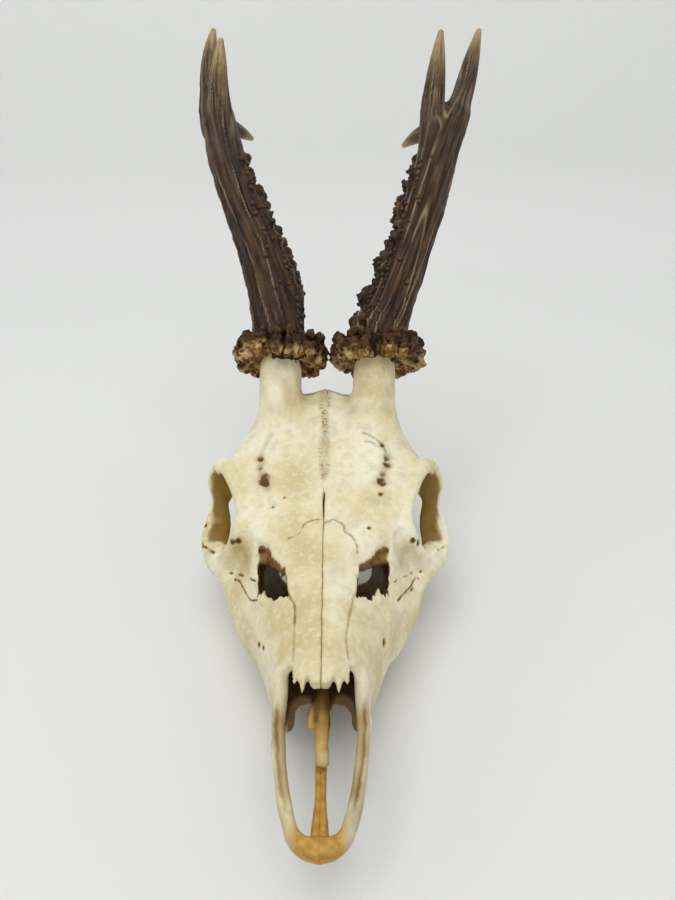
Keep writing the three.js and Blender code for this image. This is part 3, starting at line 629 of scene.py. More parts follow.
# One side of the skull as it is before the bones are parted, and the same without its cavities
def halfSkull(step, sideName):
    block = Block((-3, -3, -12), (55, 203, 104), step)
    addLoft(block, faceSections, 0)
    addLoft(block, frontalSections, 3)
    addLoft(block, brainSections, 3)
    addBall(block, orbit["centre"], orbit["radii"], 3, carve=True)
    addLimb(block, orbit["rim"], orbit["rimSizes"], 2, lift=orbit["lift"], closed=True, steps=40)
    addLimbs(block, arch, {"cheek": 6, "arch": 3})
    addLimb(block, pedicles[sideName], pedicles["radii"], 6)
    addLimb(block, crest["path"], crest["sizes"], 3)
    solid = block.field.copy()
    for centre, radii in lacrimal:
        addBall(block, centre, radii, 2)
    addLoft(block, cavitySections, 1, carve=True, ring=64)
    addLoft(block, nasalSections, 0.6)
    addPrism(block, vacuity[sideName], 26, 70, 0.4, carve=True, ragged=0.7)
    addLimbs(block, vacuity, {"scroll": 0.5})
    addLimb(block, vacuity["spike" + sideName.capitalize()], vacuity["spikeSizes"], 0.5)
    addPrism(block, fissure, -4, 12, 1, carve=True)
    addLimbs(block, noseArms, {"upper": 1.5, "lower": 1.5, "web": 1, "rod": 1})
    addLimbs(block, occiput, {"crest": 3})
    addBall(block, *occiput["condyle"], 2)
    addBall(block, *occiput["magnum"], 1, carve=True)
    addLimbs(block, occiput, {"jugular": 3}, lift=(0, 1, 0))
    addBall(block, *occiput["bulla"], 2)
    addLimbs(block, occiput, {"ear": 2})
    addLimbs(block, occiput, {"pterygoid": 2}, lift=(0, 1, 0))
    for back, out, length, width in teeth["row"]:
        path = [(out, back, teeth["root"]), (out + teeth["flare"], back, teeth["crown"])]
        sizes = [(width * w, length * n) for w, n in (teeth["rootTaper"], teeth["crownTaper"])]
        addLimb(block, path, sizes, 0.6, lift=(0, 1, 0), steps=2)
    return block, solid


nasalPlan = [(-1, 28), (10.2, 30), (9.9, 50), (10.6, 60), (12, 72), (12.6, 80), (11, 86), (6, 90),
             (0, 93), (-1, 93)]
nasalTips = [(-1, 18), (14, 18), (14, 42), (10.6, 41), (9, 39.2), (8, 37.4), (7, 38.3),
             (6.2, 36.6), (5.4, 33.4), (4.5, 36.6), (3.8, 37.8), (3.2, 36.2), (2.2, 34.7), (0, 34.9),
             (-1, 34.9)]
# Where a suture shows the bones stand apart; where it has closed they run into each other
seams = {
    "open": 0.03, "closed": -0.3, "crack": 0.3, "seed": 5,
    "cheekFrom": 35.8, "cheekTo": 147, "noseTo": 44.8, "under": 28,
}


# Signed distance to the region of each bone on one side; x is the distance from the midline
def regionOf(name, side, x, y, z):
    shown, closed, under = seams["open"], seams["closed"], seams["under"]
    wander = 0.5 * grain(x, y, z, 3.1, seams["seed"]) + 0.35 * grain(x, y, z, 1.2, seams["seed"] + 1)
    wavy = rise(y, 100, 12) * rise(z, 40, 10)
    middle = 0.8 * wavy * grain(0 * y, y, 0 * z, 1.9, 9) + 0.10 * grain(0 * y, y, 0 * z, 3, 3)
    nasal = np.maximum(outlineSide(nasalPlan, x + 0.5 * wander, y + 0.3 * wander), under - z)
    tips = outlineSide(nasalTips, x, y)
    below = (46.5 - z + 0.18 * (y - 88)) / math.hypot(1, 0.18) + wander
    coronal = (y - 154.5 + 0.25 * (z - 80)) / math.hypot(1, 0.25) + wander
    frontal = np.maximum(np.maximum(below, coronal), 86 - y)
    cheekSide = np.maximum(seams["cheekFrom"] - x + wander, y - seams["cheekTo"])
    rear = (y - 124 + 0.3 * (z + 10)) / math.hypot(1, 0.3) + wander
    nose = y - seams["noseTo"] + 0.6 * wander
    midline = (middle if side > 0 else -middle) - x
    crack = seams["crack"] * unit(1 - np.abs(y - 101) / 8) * (z > 40)
    if name == "nasal":
        return np.maximum(np.maximum(nasal + closed, midline + shown), np.maximum(under - z, -tips))
    if name == "frontal":
        joined = np.where(y > 104, 0.5 * closed, shown)
        return np.maximum(np.maximum(frontal + closed, closed - nasal), midline + joined + crack)
    lower = np.maximum(closed - nasal, closed - frontal)
    if name == "zygomatic":
        return np.maximum(lower, cheekSide + closed)
    core = np.maximum(lower, closed - cheekSide)
    if name == "premaxilla":
        return np.maximum(np.maximum(core, nose + closed), midline + 0.5 * closed)
    if name == "maxilla":
        return np.maximum(np.maximum(core, np.maximum(closed - nose, rear + shown)), midline + shown)
    return np.maximum(core, shown - rear)


# What shows on the bones: pits as (place, radius), and cracks, hollows and ridges as a path
# with its half width, how deep it goes (less than 0 stands up) and how dark it is
marks = {
    "right": {
        "pits": [((-25, 120.2, 65.8), 0.95), ((-24.5, 115.9, 63.9), 0.6), ((-22.4, 110.2, 61.2), 1.7),
                 ((-23, 112, 62.4), 1.1), ((-21.4, 107.7, 60), 0.5), ((-14.5, 102.5, 58.3), 0.35),
                 ((-18.6, 99.6, 56), 0.35), ((-27.7, 96.3, 49.5), 0.4), ((-21.4, 62.7, 23.8), 0.8),
                 ((-19.8, 59.8, 25.2), 0.6)],
        "lines": [
            ([(-25, 119, 65.4), (-24.8, 121.5, 66.8), (-23.5, 124.5, 69.3), (-21.2, 127.2, 72.7)],
             1.3, 0.7, 0.15),
            ([(-24.6, 118, 64.8), (-24, 113, 62.6), (-22.3, 110.2, 61.4), (-21.4, 107, 59.6)], 1.8, 0.9, 0.2),
            ([(-0.2, 93.2, 54.2), (-2.5, 92.8, 54.8), (-4.5, 92.3, 54.5), (-6.8, 91, 53.8),
              (-7.8, 88.8, 52.4), (-9, 87.2, 51.6), (-12.2, 86.3, 50.9)], 0.35, 0.25, 0.45),
            ([(-35.8, 97.7, 28.3), (-31.4, 91, 32.3), (-27.7, 85.6, 34.9), (-24.2, 81.5, 36.3)],
             0.3, 0.45, 0.9),
            ([(-34.5, 95.5, 26.8), (-31.2, 89, 31), (-29.2, 85, 31), (-26, 78.6, 30.4),
              (-23.1, 75.6, 32.6)], 0.3, 0.45, 0.9),
            ([(-50, 116.6, 27.7), (-47.7, 114.5, 28.6), (-43, 105.7, 32)], 0.45, 0.6, 1),
            ([(-51, 118.5, 30.5), (-49.6, 116.8, 28.2)], 0.5, 0.4, 0.9),
            ([(-24.3, 91.5, 47.4), (-24.2, 87.8, 41), (-24, 84, 34), (-22.6, 78.5, 30.5)], 1.3, -1, 0),
            ([(-31.5, 96, 40.5), (-29.6, 91.5, 37.8), (-27.8, 86.5, 35.4)], 2.7, 0.95, 0),
            ([(-9.6, 70, 42.8), (-9.3, 60, 40.2), (-8.6, 50, 37.2), (-9.2, 44, 33)], 0.6, 0.3, 0),
            ([(-11.9, 68.7, 41.6), (-10.5, 65, 41.2), (-8.9, 61.6, 40.4), (-8.7, 56, 38.6)], 0.4, 0.45, 0.55),
            ([(-8.7, 56, 38.6), (-8.6, 49.9, 36.6), (-8.7, 44.1, 33.9)], 0.35, 0.3, 0.25),
            ([(-22.6, 73.2, 31), (-23, 68, 27.5), (-22, 61, 22)], 1.2, -0.5, 0),
        ],
        "spots": [((-49.6, 123.5, 33.5), 0.8), ((-33.4, 95.1, 44.1), 1), ((-31.2, 94.8, 44.8), 1.1)],
        # The hollow in front of the orbit, laid as painted shade in olive
        "oliveShade": [((-29.2, 91.5, 38.6), 5.5)],
    },
    "left": {
        "pits": [((22.5, 123.8, 69.5), 0.75), ((24.3, 120, 66), 0.95), ((24.1, 117.6, 64.6), 1.05),
                 ((22.2, 112.8, 62.8), 0.9), ((21.5, 109.9, 61.2), 1.45), ((21, 105.1, 58.4), 0.6),
                 ((16.2, 90.9, 52.4), 0.45), ((20.6, 61.8, 25.5), 0.9)],
        "lines": [
            ([(24.4, 121, 66.5), (22.5, 124, 69.4), (19.5, 126, 71.7), (15, 127.9, 73.3)], 0.5, 0.35, 0.35),
            ([(21.5, 122, 68), (18.5, 124.5, 70.5), (16, 125, 71)], 0.4, 0.25, 0.3),
            ([(24.4, 121, 66.3), (24.2, 117, 64.5), (22.6, 113.5, 63), (21.4, 109.5, 61.2)], 1.7, 0.9, 0.2),
            ([(0.4, 91.5, 54.1), (2.2, 92.3, 54.6), (3.8, 92.8, 54.7), (7, 91, 53.8),
              (7.5, 88.2, 52.6), (9.5, 87, 51.8), (11.4, 84.5, 50.2), (12, 81, 48.6)], 0.35, 0.25, 0.45),
            ([(36.8, 97.9, 28.9), (33.6, 92.8, 28.3), (30.8, 86.5, 29), (26.5, 79, 29.7)], 0.35, 0.5, 0.95),
            ([(33, 95, 30.3), (28.4, 86.2, 34.3), (25.1, 82.1, 35.4)], 0.28, 0.35, 0.8),
            ([(35.5, 95.5, 27.3), (34.2, 91.5, 29.2), (32.5, 88.8, 27.5), (31, 84, 29)], 0.3, 0.35, 0.9),
            ([(48, 115.5, 28.6), (44.5, 109, 31)], 0.35, 0.3, 0.6),
            ([(24.1, 91.5, 47.4), (23.8, 87.8, 41), (23.6, 84, 34), (22.2, 78, 31)], 1.3, -1, 0),
            ([(31.8, 96, 40.5), (30, 91.5, 37.6), (28, 86.5, 35.2)], 2.7, 0.95, 0),
            ([(9.6, 70, 42.8), (9.3, 60, 40.2), (8.4, 51, 37.3), (9.2, 44, 33)], 0.6, 0.3, 0),
            ([(10.5, 66.5, 41.6), (9.4, 61.1, 40.1), (8.4, 55.8, 38.9), (7.7, 49.5, 37),
              (8.4, 44.5, 34.5)], 0.38, 0.4, 0.35),
            ([(22.4, 73, 31.2), (22.8, 68, 27.5), (22, 61, 22)], 1.2, -0.5, 0),
        ],
        "spots": [((32.5, 94.8, 44.7), 0.9), ((34.8, 96, 42.8), 0.9), ((50.4, 124, 36), 0.5)],
        # The hollow in front of the orbit, laid as painted shade in olive
        "oliveShade": [((29.6, 91.5, 38.4), 5.5)],
    },
}
armGroove = [(13.2, 35, 22), (13.1, 32, 20.7), (12.3, 24, 15.3), (10.8, 17, 11.3), (9.4, 12.8, 9.4)]
for sideName, side in sides.items():
    marks[sideName]["lines"].append(([(side * out, back, up) for out, back, up in armGroove], 0.75, 0.8, 0))
texture = {
    "swell": 0.22, "swellSize": 7, "rough": 0.10, "roughSize": 1.7, "reach": 2.6,
    "insideFrom": -1.4, "inside": 0.15,  # the relief is weak on the walls of the nose
    "pitDepth": 2.6, "pitDark": 0.85, "pitHalo": 0.45, "darkLineDepth": 0.6, "lineDark": 0.8, "fineLine": 0.6,
}


# Distance from points to the nearest place on a path
def pathDistance(points, path):
    best = np.full(len(points), 30.0, np.float32)
    line = curveThrough(path, 4 * len(path) + 1)
    near = np.all((points > line.min(0) - 7) & (points < line.max(0) + 7), axis=1)
    some = points[near]
    found = np.full(len(some), 30.0)
    for a, b in zip(line[:-1], line[1:]):
        e = b - a
        t = unit((some - a) @ e / (e @ e + 1e-9))
        found = np.minimum(found, np.linalg.norm(some - a - t[:, None] * e, axis=1))
    best[near] = found
    return best


# How far the surface sinks at points by its marks, and how dark it is there and round its pits
def markedAt(points, sideName):
    found = marks[sideName]
    x, y, z = points.T
    sink = texture["swell"] * grain(x, y, z, texture["swellSize"], 2)
    sink = sink + texture["rough"] * grain(x, y, z, texture["roughSize"], 3)
    dark, halo = np.zeros(len(points)), np.zeros(len(points))
    for centre, radius in found["pits"]:
        d = np.linalg.norm(points - centre, axis=1) / radius + 0.45 * grain(x, y, z, 1.3, 14)
        sink = sink + texture["pitDepth"] * radius * np.exp(-(d / 1.05) ** 4)
        dark = np.maximum(dark, texture["pitDark"] * fall(d, 1.38, 0.4))
        halo = np.maximum(halo, texture["pitHalo"] * np.exp(-(d / 2.2) ** 3))
    for path, width, depth, tone in found["lines"]:
        wobble = 0.22 * grain(x, y, z, 1.1, 8) if width < texture["fineLine"] else 0
        d = np.abs(pathDistance(points, path) + wobble)
        deep = texture["darkLineDepth"] * depth if tone else depth
        sink = sink + deep * np.exp(-(d / width) ** 2)
        if tone:
            past = np.maximum(d - 0.5 * deep, 0) / (0.75 * width)
            dark = np.maximum(dark, texture["lineDark"] * tone * np.exp(-past ** 2))
    for centre, radius in found["spots"]:
        d = np.linalg.norm(points - centre, axis=1) + 0.5 * grain(x, y, z, 1.2, 12)
        dark = np.maximum(dark, unit(1.6 - d / radius))
    return sink, dark, halo


# How strong each laid colour is, and the brown ledge of the arms as back and how far out
laid = {
    "seam": 0.45, "snout": 0.12, "band": 0.5, "bandWidth": 2.0, "squiggles": 0.62, "forehead": 0.35,
    # betweenPedicles, fossa, orbitBlotches, noseHigh and noseFloor set how strong the painted shade is
    "betweenPedicles": 0.7, "fossa": 0.42, "orbitBlotches": 0.6, "noseHigh": 0.5, "noseFloor": 0.8,
    "ledge": 0.95, "groove": 0.62, "arms": 0.62, "cheek": 0.5,
    "ledgeLine": [(8, 7.6), (11.8, 9.2), (17, 10.7), (24, 12.2), (32, 13), (40, 12.8)],
}


# How much of each laid colour a bone has at points: tan, olive as painted shade, amber, rust, and the dark
# ones, which are stains and painted shade inside the skull
def tonesAt(name, points, sideName, depth, edge, normals):
    x, y, z = points.T
    out = np.abs(x)
    wander, fine = grain(x, y, z, 5, 21), grain(x, y, z, 1.4, 22)
    _, dark, halo = markedAt(points, sideName)
    oliveShade, amber = np.zeros(len(points)), np.zeros(len(points))

    # Along the seam between the nasals, round the pits, and faintly on the snout
    seam = laid["seam"] * (out < 2.5) * (y < 104)
    tan = seam * np.exp(-(edge / 0.5) ** 2) * unit(0.8 + 0.5 * fine)
    snout = laid["snout"] * fall(y, 96, 25) * unit(0.9 + wander) * (z > 12)
    tan = np.maximum(np.maximum(tan, halo), snout)
    if name == "frontal":
        # Band of fine squiggles between the two frontals
        band = np.exp(-((x - 0.5 * wander) / laid["bandWidth"]) ** 4) * rise(y, 108, 3)
        turns = grain(0.8 * x, 1.5 * y + 0.5 * x, 0 * x, 1.2, 25)
        fades = unit(0.35 + 1.3 * grain(x, 0.6 * y, 0 * x, 2.2, 26))
        tan = np.maximum(tan, laid["band"] * band * unit(0.7 + 0.6 * wander))
        dark = np.maximum(dark, laid["squiggles"] * band * np.exp(-(turns / 0.17) ** 2) * fades)
        tan = np.maximum(tan, laid["forehead"] * rise(y, 128, 10) * unit(wander + 0.3))
        # Painted shade in olive on the slope behind the crest between the pedicles, which faces back
        behind = unit(normals[:, 1] * 2 + 0.9) * rise(y, 149, 3)
        oliveShade = laid["betweenPedicles"] * behind * (out < 13) * (z > 74)
    # Painted shade, in the inner brown, on surfaces deep inside the skull
    inner = unit((-depth - 1.3) / 1.6) * unit(0.8 + 0.35 * fine)
    if name == "maxilla":
        # Less painted shade high up in the nose, and painted shade again on the walls round the edge of the
        # vacuity
        high = rise(z, 14, 12) * (y > 92) * (z < 36)
        inner = inner * (1 - laid["noseHigh"] * high) * np.clip((y - 45) / 4, 0.2, 1)
        hole = 1 - outlineSide(vacuity[sideName], out, y)
        inner = np.maximum(inner, unit(hole) * unit((-depth - 0.7) / 0.8) * (z > 30))
    # Painted shade in olive in the hollow in front of the orbit
    for centre, radius in marks[sideName]["oliveShade"]:
        away = np.linalg.norm(points - centre, axis=1) / radius
        oliveShade = np.maximum(oliveShade, laid["fossa"] * np.exp(-away ** 3))
    if name in ("zygomatic", "frontal"):
        # Painted shade in olive on the side of the ring that faces the eye, and painted shade in dark
        # blotches on it
        inward = unit((48.5 - out) / 3 + 0.25 * wander) * rise(y, 105, 5)
        turned = -normals[:, 0] * np.sign(x) * 0.75 - normals[:, 1] * 0.55
        facing = inward * unit(turned * 3.6 + 0.1) * (out > 39)
        oliveShade = np.maximum(oliveShade, facing * fall(z, 64, 3) * unit(1.1 + 0.3 * wander))
        blotches = fall(z, 62, 4) * unit(0.15 + 1.1 * wander)
        inner = np.maximum(inner, laid["orbitBlotches"] * facing * blotches)
    if name == "premaxilla":
        # Brown ledge along each arm, tan towards the nose, amber at its tip
        past = np.interp(y, *np.transpose(laid["ledgeLine"])) + 0.2 - out
        stretch = rise(y, 11, 5) * fall(y, 38, 5)
        ledge = unit((past + 0.5 * fine) / 0.8) * stretch
        tan = np.maximum(tan, laid["ledge"] * ledge * unit(0.9 + 0.3 * wander))
        groove = np.exp(-((past + 0.3 * fine) / 0.65) ** 2) * stretch
        dark = np.maximum(dark, laid["groove"] * groove * unit(0.9 + 0.35 * wander))
        tan = np.maximum(tan, laid["arms"] * fall(y, 44, 10) * unit(0.6 * wander + 0.75))
        plate = unit((13.5 - y - 0.2 * out + wander) / 4) * fall(out, 8.8, 3)
        amber = np.maximum(plate, fall(out, 3.6, 0.8))
    if name == "maxilla":
        low = np.maximum(fall(y, 56, 10) * fall(z, 22, 8), fall(z, 4, 6))
        tan = np.maximum(tan, laid["cheek"] * low)
    if name in ("maxilla", "premaxilla"):
        # Painted shade on the floor of the nose under the nasals
        floor = rise(y, 39, 3) * fall(y, 66, 4) * fall(z, 17, 2) * unit(13 - out)
        inner = np.maximum(inner, laid["noseFloor"] * floor)
    within = rise(y, 79, 3) * fall(y, 97, 2) * (z > 33) * (out > 9)
    rust = unit(-depth - 1) * within * unit(0.75 + 0.4 * fine)
    tones = {"tan": tan, "stainAndShade": unit(dark), "inner": inner, "oliveShade": oliveShade, "amber": amber}
    return {**tones, "rust": rust}


# Low and high corner of the block that each bone is cut from
bones = {
    "nasal": ((-2, 30, 26), (16, 97, 60)),
    "premaxilla": ((-2, -1, -6), (20, 48, 34)),
    "maxilla": ((-2, 40, -12), (40, 134, 62)),
    "frontal": ((-2, 82, 40), (48, 165, 104)),
    "zygomatic": ((32, 90, 12), (54, 150, 66)),
}


# Value of a field at points, from the cells round them
def sampled(field, low, step, points):
    q = (points - low) / step
    i = np.clip(np.floor(q).astype(int), 0, np.array(field.shape) - 2)
    f = unit(q - i)
    value = 0
    for corner in range(8):
        bits = np.array([(corner >> k) & 1 for k in range(3)])
        weight = np.prod(np.where(bits, f, 1 - f), axis=1)
        value = value + weight * field[tuple((i + bits).T)]
    return value


def normalsOf(points, quads):
    a, b, c, d = (points[quads[:, k]] for k in range(4))
    facing = np.cross(c - a, d - b)
    total = np.zeros_like(points)
    for k in range(4):
        np.add.at(total, quads[:, k], facing)
    return total / np.maximum(np.linalg.norm(total, axis=1), 1e-9)[:, None]


# Less than 0 above the table that the skull rests on
def tableSide(y, z):
    return -(z * math.cos(lie["tilt"]) - y * math.sin(lie["tilt"]) + lie["shift"][2])


# Relief pressed into a block's field, only near its surface
def press(block, reach, reliefAt):
    near = np.argwhere(np.abs(block.field) < reach)
    cells = tuple(near.T)
    block.field[cells] += reliefAt(near * block.step + block.low, cells).astype(np.float32)


# The pedicles end just inside the coronets
def coronetSide(sideName, x, y, z):
    height = sum((q - c) * a for q, c, a in zip((x, y, z), coronetAt[sideName], antlerAxis))
    return np.where(z > coronetAt["above"], height + coronetAt["height"] / 2 - coronetAt["inset"], -9)


def makeBones(sideName, side):
    block, solid = halfSkull(fineness["bone"], sideName)

    def reliefAt(places, cells):
        sink, _, _ = markedAt(places * (side, 1, 1), sideName)
        return np.where(solid[cells] < texture["insideFrom"], texture["inside"] * sink, sink)

    press(block, texture["reach"], reliefAt)
    for name, (low, high) in bones.items():
        cut, (x, y, z) = block.window(low, high)
        start = np.array([float(q.ravel()[0]) for q in (x, y, z)])
        region = np.asarray(regionOf(name, side, x, y, z), np.float32)
        field = np.maximum(np.maximum(block.field[cut], region), coronetSide(sideName, x, y, z))
        field = np.pad(np.maximum(field, tableSide(y, z)), 1, constant_values=5.0)
        points, quads = keepLargest(*netOf(field, start - block.step, block.step))
        depth = sampled(solid[cut], start, block.step, points)
        edge = sampled(region, start, block.step, points)
        if side < 0:
            points, quads = points * (-1, 1, 1), quads[:, ::-1]
        tones = tonesAt(name, points, sideName, depth, edge, normalsOf(points, quads))
        makePiece(f"{name}Bone_{sideName}", points, quads, bone, [f"{name}_{sideName}"], tones)
        print("bone", name, sideName, len(quads))


for sideName, side in sides.items():
    makeBones(sideName, side)


def makeBraincase():
    step = fineness["braincase"]
    block, _ = halfSkull(step, "left")
    cut, (x, y, z) = block.window((-2, 96, -4), (54, 203, 90))
    field = np.maximum(block.field[cut], regionOf("braincase", 1, x, y, z))
    field = np.maximum(field, tableSide(y, z))
    half = field[int(np.argmin(np.abs(x.ravel()))):]
    field = np.pad(np.concatenate([half[:0:-1], half]), 1, constant_values=5.0)
    start = (-half.shape[0] * step, float(y.ravel()[0]) - step, float(z.ravel()[0]) - step)
    points, quads = keepLargest(*netOf(field, start, step))
    tones = {key: np.zeros(len(points)) for key in ("stainAndShade", "amber", "rust")}
    _, y, z = points.T
    # Painted shade in the opening at the back of the skull
    centre, radii = (np.array(q) for q in occiput["magnum"])
    within = 1.02 - np.linalg.norm((points - centre) / radii, axis=1)
    tones["inner"] = unit(within * 8) * (y < 193.5)
    tones["tan"] = unit(0.12 + 0.25 * grain(*points.T, 9, 51) + 0.4 * fall(z, 30, 20))
    # Painted shade in olive on the top just behind the crest between the pedicles
    tones["oliveShade"] = 0.75 * fall(y, 162, 5) * rise(z, 70, 4)
    makePiece("braincaseBone", points, quads, bone, ["braincase"], tones)
    print("braincase", len(quads))


makeBraincase()

vomerBlade = {
    "blade": [(0.6, 27.5, 9.4), (0.2, 36, 12.4), (0.2, 46, 14.4), (0, 62, 14.6), (0, 82, 18), (0, 100, 22)],
    "bladeSizes": [(1.9, 1.4), (2.2, 1.7), (2.2, 3), (1.6, 4.6), (1.3, 6), (1.2, 7)],
    "flap": [(-0.6, 47, 15.5), (-2.6, 42.5, 14.8), (-3.6, 38, 12.8)],
    "flapSizes": [(1.2, 1.8), (1.5, 1.5), (0.9, 1)], "rough": 0.28, "roughSize": 1.6,
}


def makeVomer():
    block = Block((-6, 22, 4), (6, 110, 34), fineness["coronet"])
    addLimbs(block, vomerBlade, {"blade": 0, "flap": 1})

    def reliefAt(places, cells):
        x, y, z = places.T
        return vomerBlade["rough"] * grain(x, 0.4 * y, z, vomerBlade["roughSize"], 31)

    press(block, 1.5, reliefAt)
    points, quads = keepLargest(*netOf(block.field, block.low, block.step))
    x, y, _ = points.T
    fine = grain(*points.T, 2.2, 7)
    cleft = np.exp(-((x + 1.7) / 0.7) ** 2) * rise(y, 38, 2)
    leaf = unit((-2.2 - x) / 0.8)
    # Painted shade, darker further back under the nasals, less on the flap, and in the cleft beside it, with
    # some random tone
    stainAndShade = rise(y, 35, 8) * (1 - 0.7 * leaf) + 0.9 * cleft + 0.35 * fine
    pale = fall(y, 36, 7) * unit(0.7 + fine) + 0.25 * leaf
    tones = {"stainAndShade": unit(stainAndShade), "pale": unit(pale)}
    makePiece("vomerBlade", points, quads, agedBone, ["vomer"], tones)
    print("vomer", len(quads))


makeVomer()

# Points along each branch, with its radius at each
antlers = {
    "right": {
        "beam": [(-18.8, 158, 99, 11.4), (-19.4, 163.5, 106, 11.2), (-22, 171.6, 115.7, 10.5),
                 (-28.2, 186, 134, 9.6), (-37.8, 201, 153, 8.9), (-45.5, 216, 172.5, 8.1),
                 (-50, 228, 188, 6.1)],
        "flange": [(-16.2, 159, 101, 10.2), (-16.9, 164.5, 108, 10.3), (-19.5, 173.5, 119, 10),
                   (-24.6, 182.5, 130, 8.8), (-29.5, 190, 139.5, 7.5)],
        "front": [(-45.4, 213, 170, 6.2), (-46.2, 217.5, 184, 5.6), (-47.3, 221, 198, 4.7),
                  (-46.4, 223, 208, 3.3), (-45.4, 223.6, 216, 1.5)],
        "top": [(-49.5, 224, 183, 6), (-52, 229.5, 190.5, 5.4), (-54.2, 241, 203, 4.6),
                (-54.6, 252, 215, 3.4), (-54.2, 261.5, 224, 1.5)],
        "rear": [(-48.5, 224, 182, 5.4), (-46.5, 233, 182.5, 4.4), (-42, 244, 180.5, 3.2),
                 (-37.6, 253.5, 177.5, 1.4)],
    },
    "left": {
        "beam": [(21.2, 158, 99, 11.2), (23.2, 163.5, 106, 10.9), (28.2, 172, 116, 10.1),
                 (36.2, 186, 134, 9.5), (43.6, 201, 153, 9.5), (51.2, 216, 172.5, 8.5),
                 (57.5, 226.5, 186, 6.2)],
        "front": [(47.5, 210, 167, 6.6), (47.4, 215.5, 178, 6.2), (47, 219.5, 188, 5.6),
                  (47.9, 222, 199, 4.7), (48.7, 223.4, 209.5, 3.4), (49.4, 223.8, 219, 1.5)],
        "top": [(55, 222, 181, 6), (59, 228, 188, 5.4), (64, 238.5, 200, 4.7), (68, 249, 212, 3.6),
                (72.4, 261.5, 224, 1.5)],
        "rear": [(50, 223, 181, 5.4), (48, 233, 181, 4.4), (42.5, 244, 178, 3.2), (38, 252.5, 174.5, 1.4)],
    },
}
growth = {
    "steps": {"beam": 18, "front": 10, "top": 10, "rear": 8, "flange": 8}, "blend": 5, "slim": 0.985,
    "skin": 0.1, "reach": 2.4, "seed": {"left": 30, "right": 60},
    "furrow": 1.5, "furrowSize": (1.8, 1.8, 24), "fine": 0.42, "fineSize": (0.8, 0.8, 9),
    "lineSize": (4.2, 4.2, 120), "thinSize": (0.55, 0.55, 12), "lump": 0.35, "line": 0.4,
    "tineFrom": 0.25, "knobs": 60, "knobRadius": (1.2, 3.3), "knobSeed": 4, "knobFrom": 3, "knobTo": 96,
}


# Centre line of a stretch with its radius, and how far along the antler each point is
def railOf(stretch, steps, start=0.0):
    line = curveThrough(stretch, steps + 1)
    lengths = np.linalg.norm(np.diff(line[:, :3], axis=0), axis=1)
    return line, start + np.concatenate([[0], np.cumsum(lengths)])


def railsOf(one):
    beam = railOf(one["beam"], 18)
    return [beam, *(railOf(one[name], 8, beam[1][-1] - 12) for name in ("front", "top", "rear"))]


# For points near an antler: distance along it, direction round it, how near a tip, and how far out
def placeOnAntler(points, rails):
    far = np.full(len(points), 1e3)
    along, turn, tip = np.zeros(len(points)), np.zeros(len(points)), np.zeros(len(points))
    for number, (line, reach) in enumerate(rails):
        for a, b, ua, ub in zip(line[:-1], line[1:], reach[:-1], reach[1:]):
            e = b[:3] - a[:3]
            t = unit((points - a[:3]) @ e / (e @ e))
            v = points - a[:3] - t[:, None] * e
            d = np.linalg.norm(v, axis=1) - (a[3] + t * (b[3] - a[3]))
            e = e / np.linalg.norm(e)
            across = np.cross(e, (0, -1, 0))
            across /= np.linalg.norm(across)
            raised = np.cross(across, e)
            u = ua + t * (ub - ua)
            nearer = d < far
            far[nearer], along[nearer] = d[nearer], u[nearer]
            turn[nearer] = np.arctan2(v @ raised, v @ across)[nearer]
            tip[nearer] = ((u - reach[0]) / (reach[-1] - reach[0]))[nearer] if number else 0
    return along, turn, tip, far


def streaks(along, turn, size, seed):
    return grain(8 * np.cos(turn), 8 * np.sin(turn), along, size, seed)


# 1 on the side that faces the other antler
def inwardness(points, turn):
    return np.where(points[:, 0] > 0, -np.cos(turn), np.cos(turn))


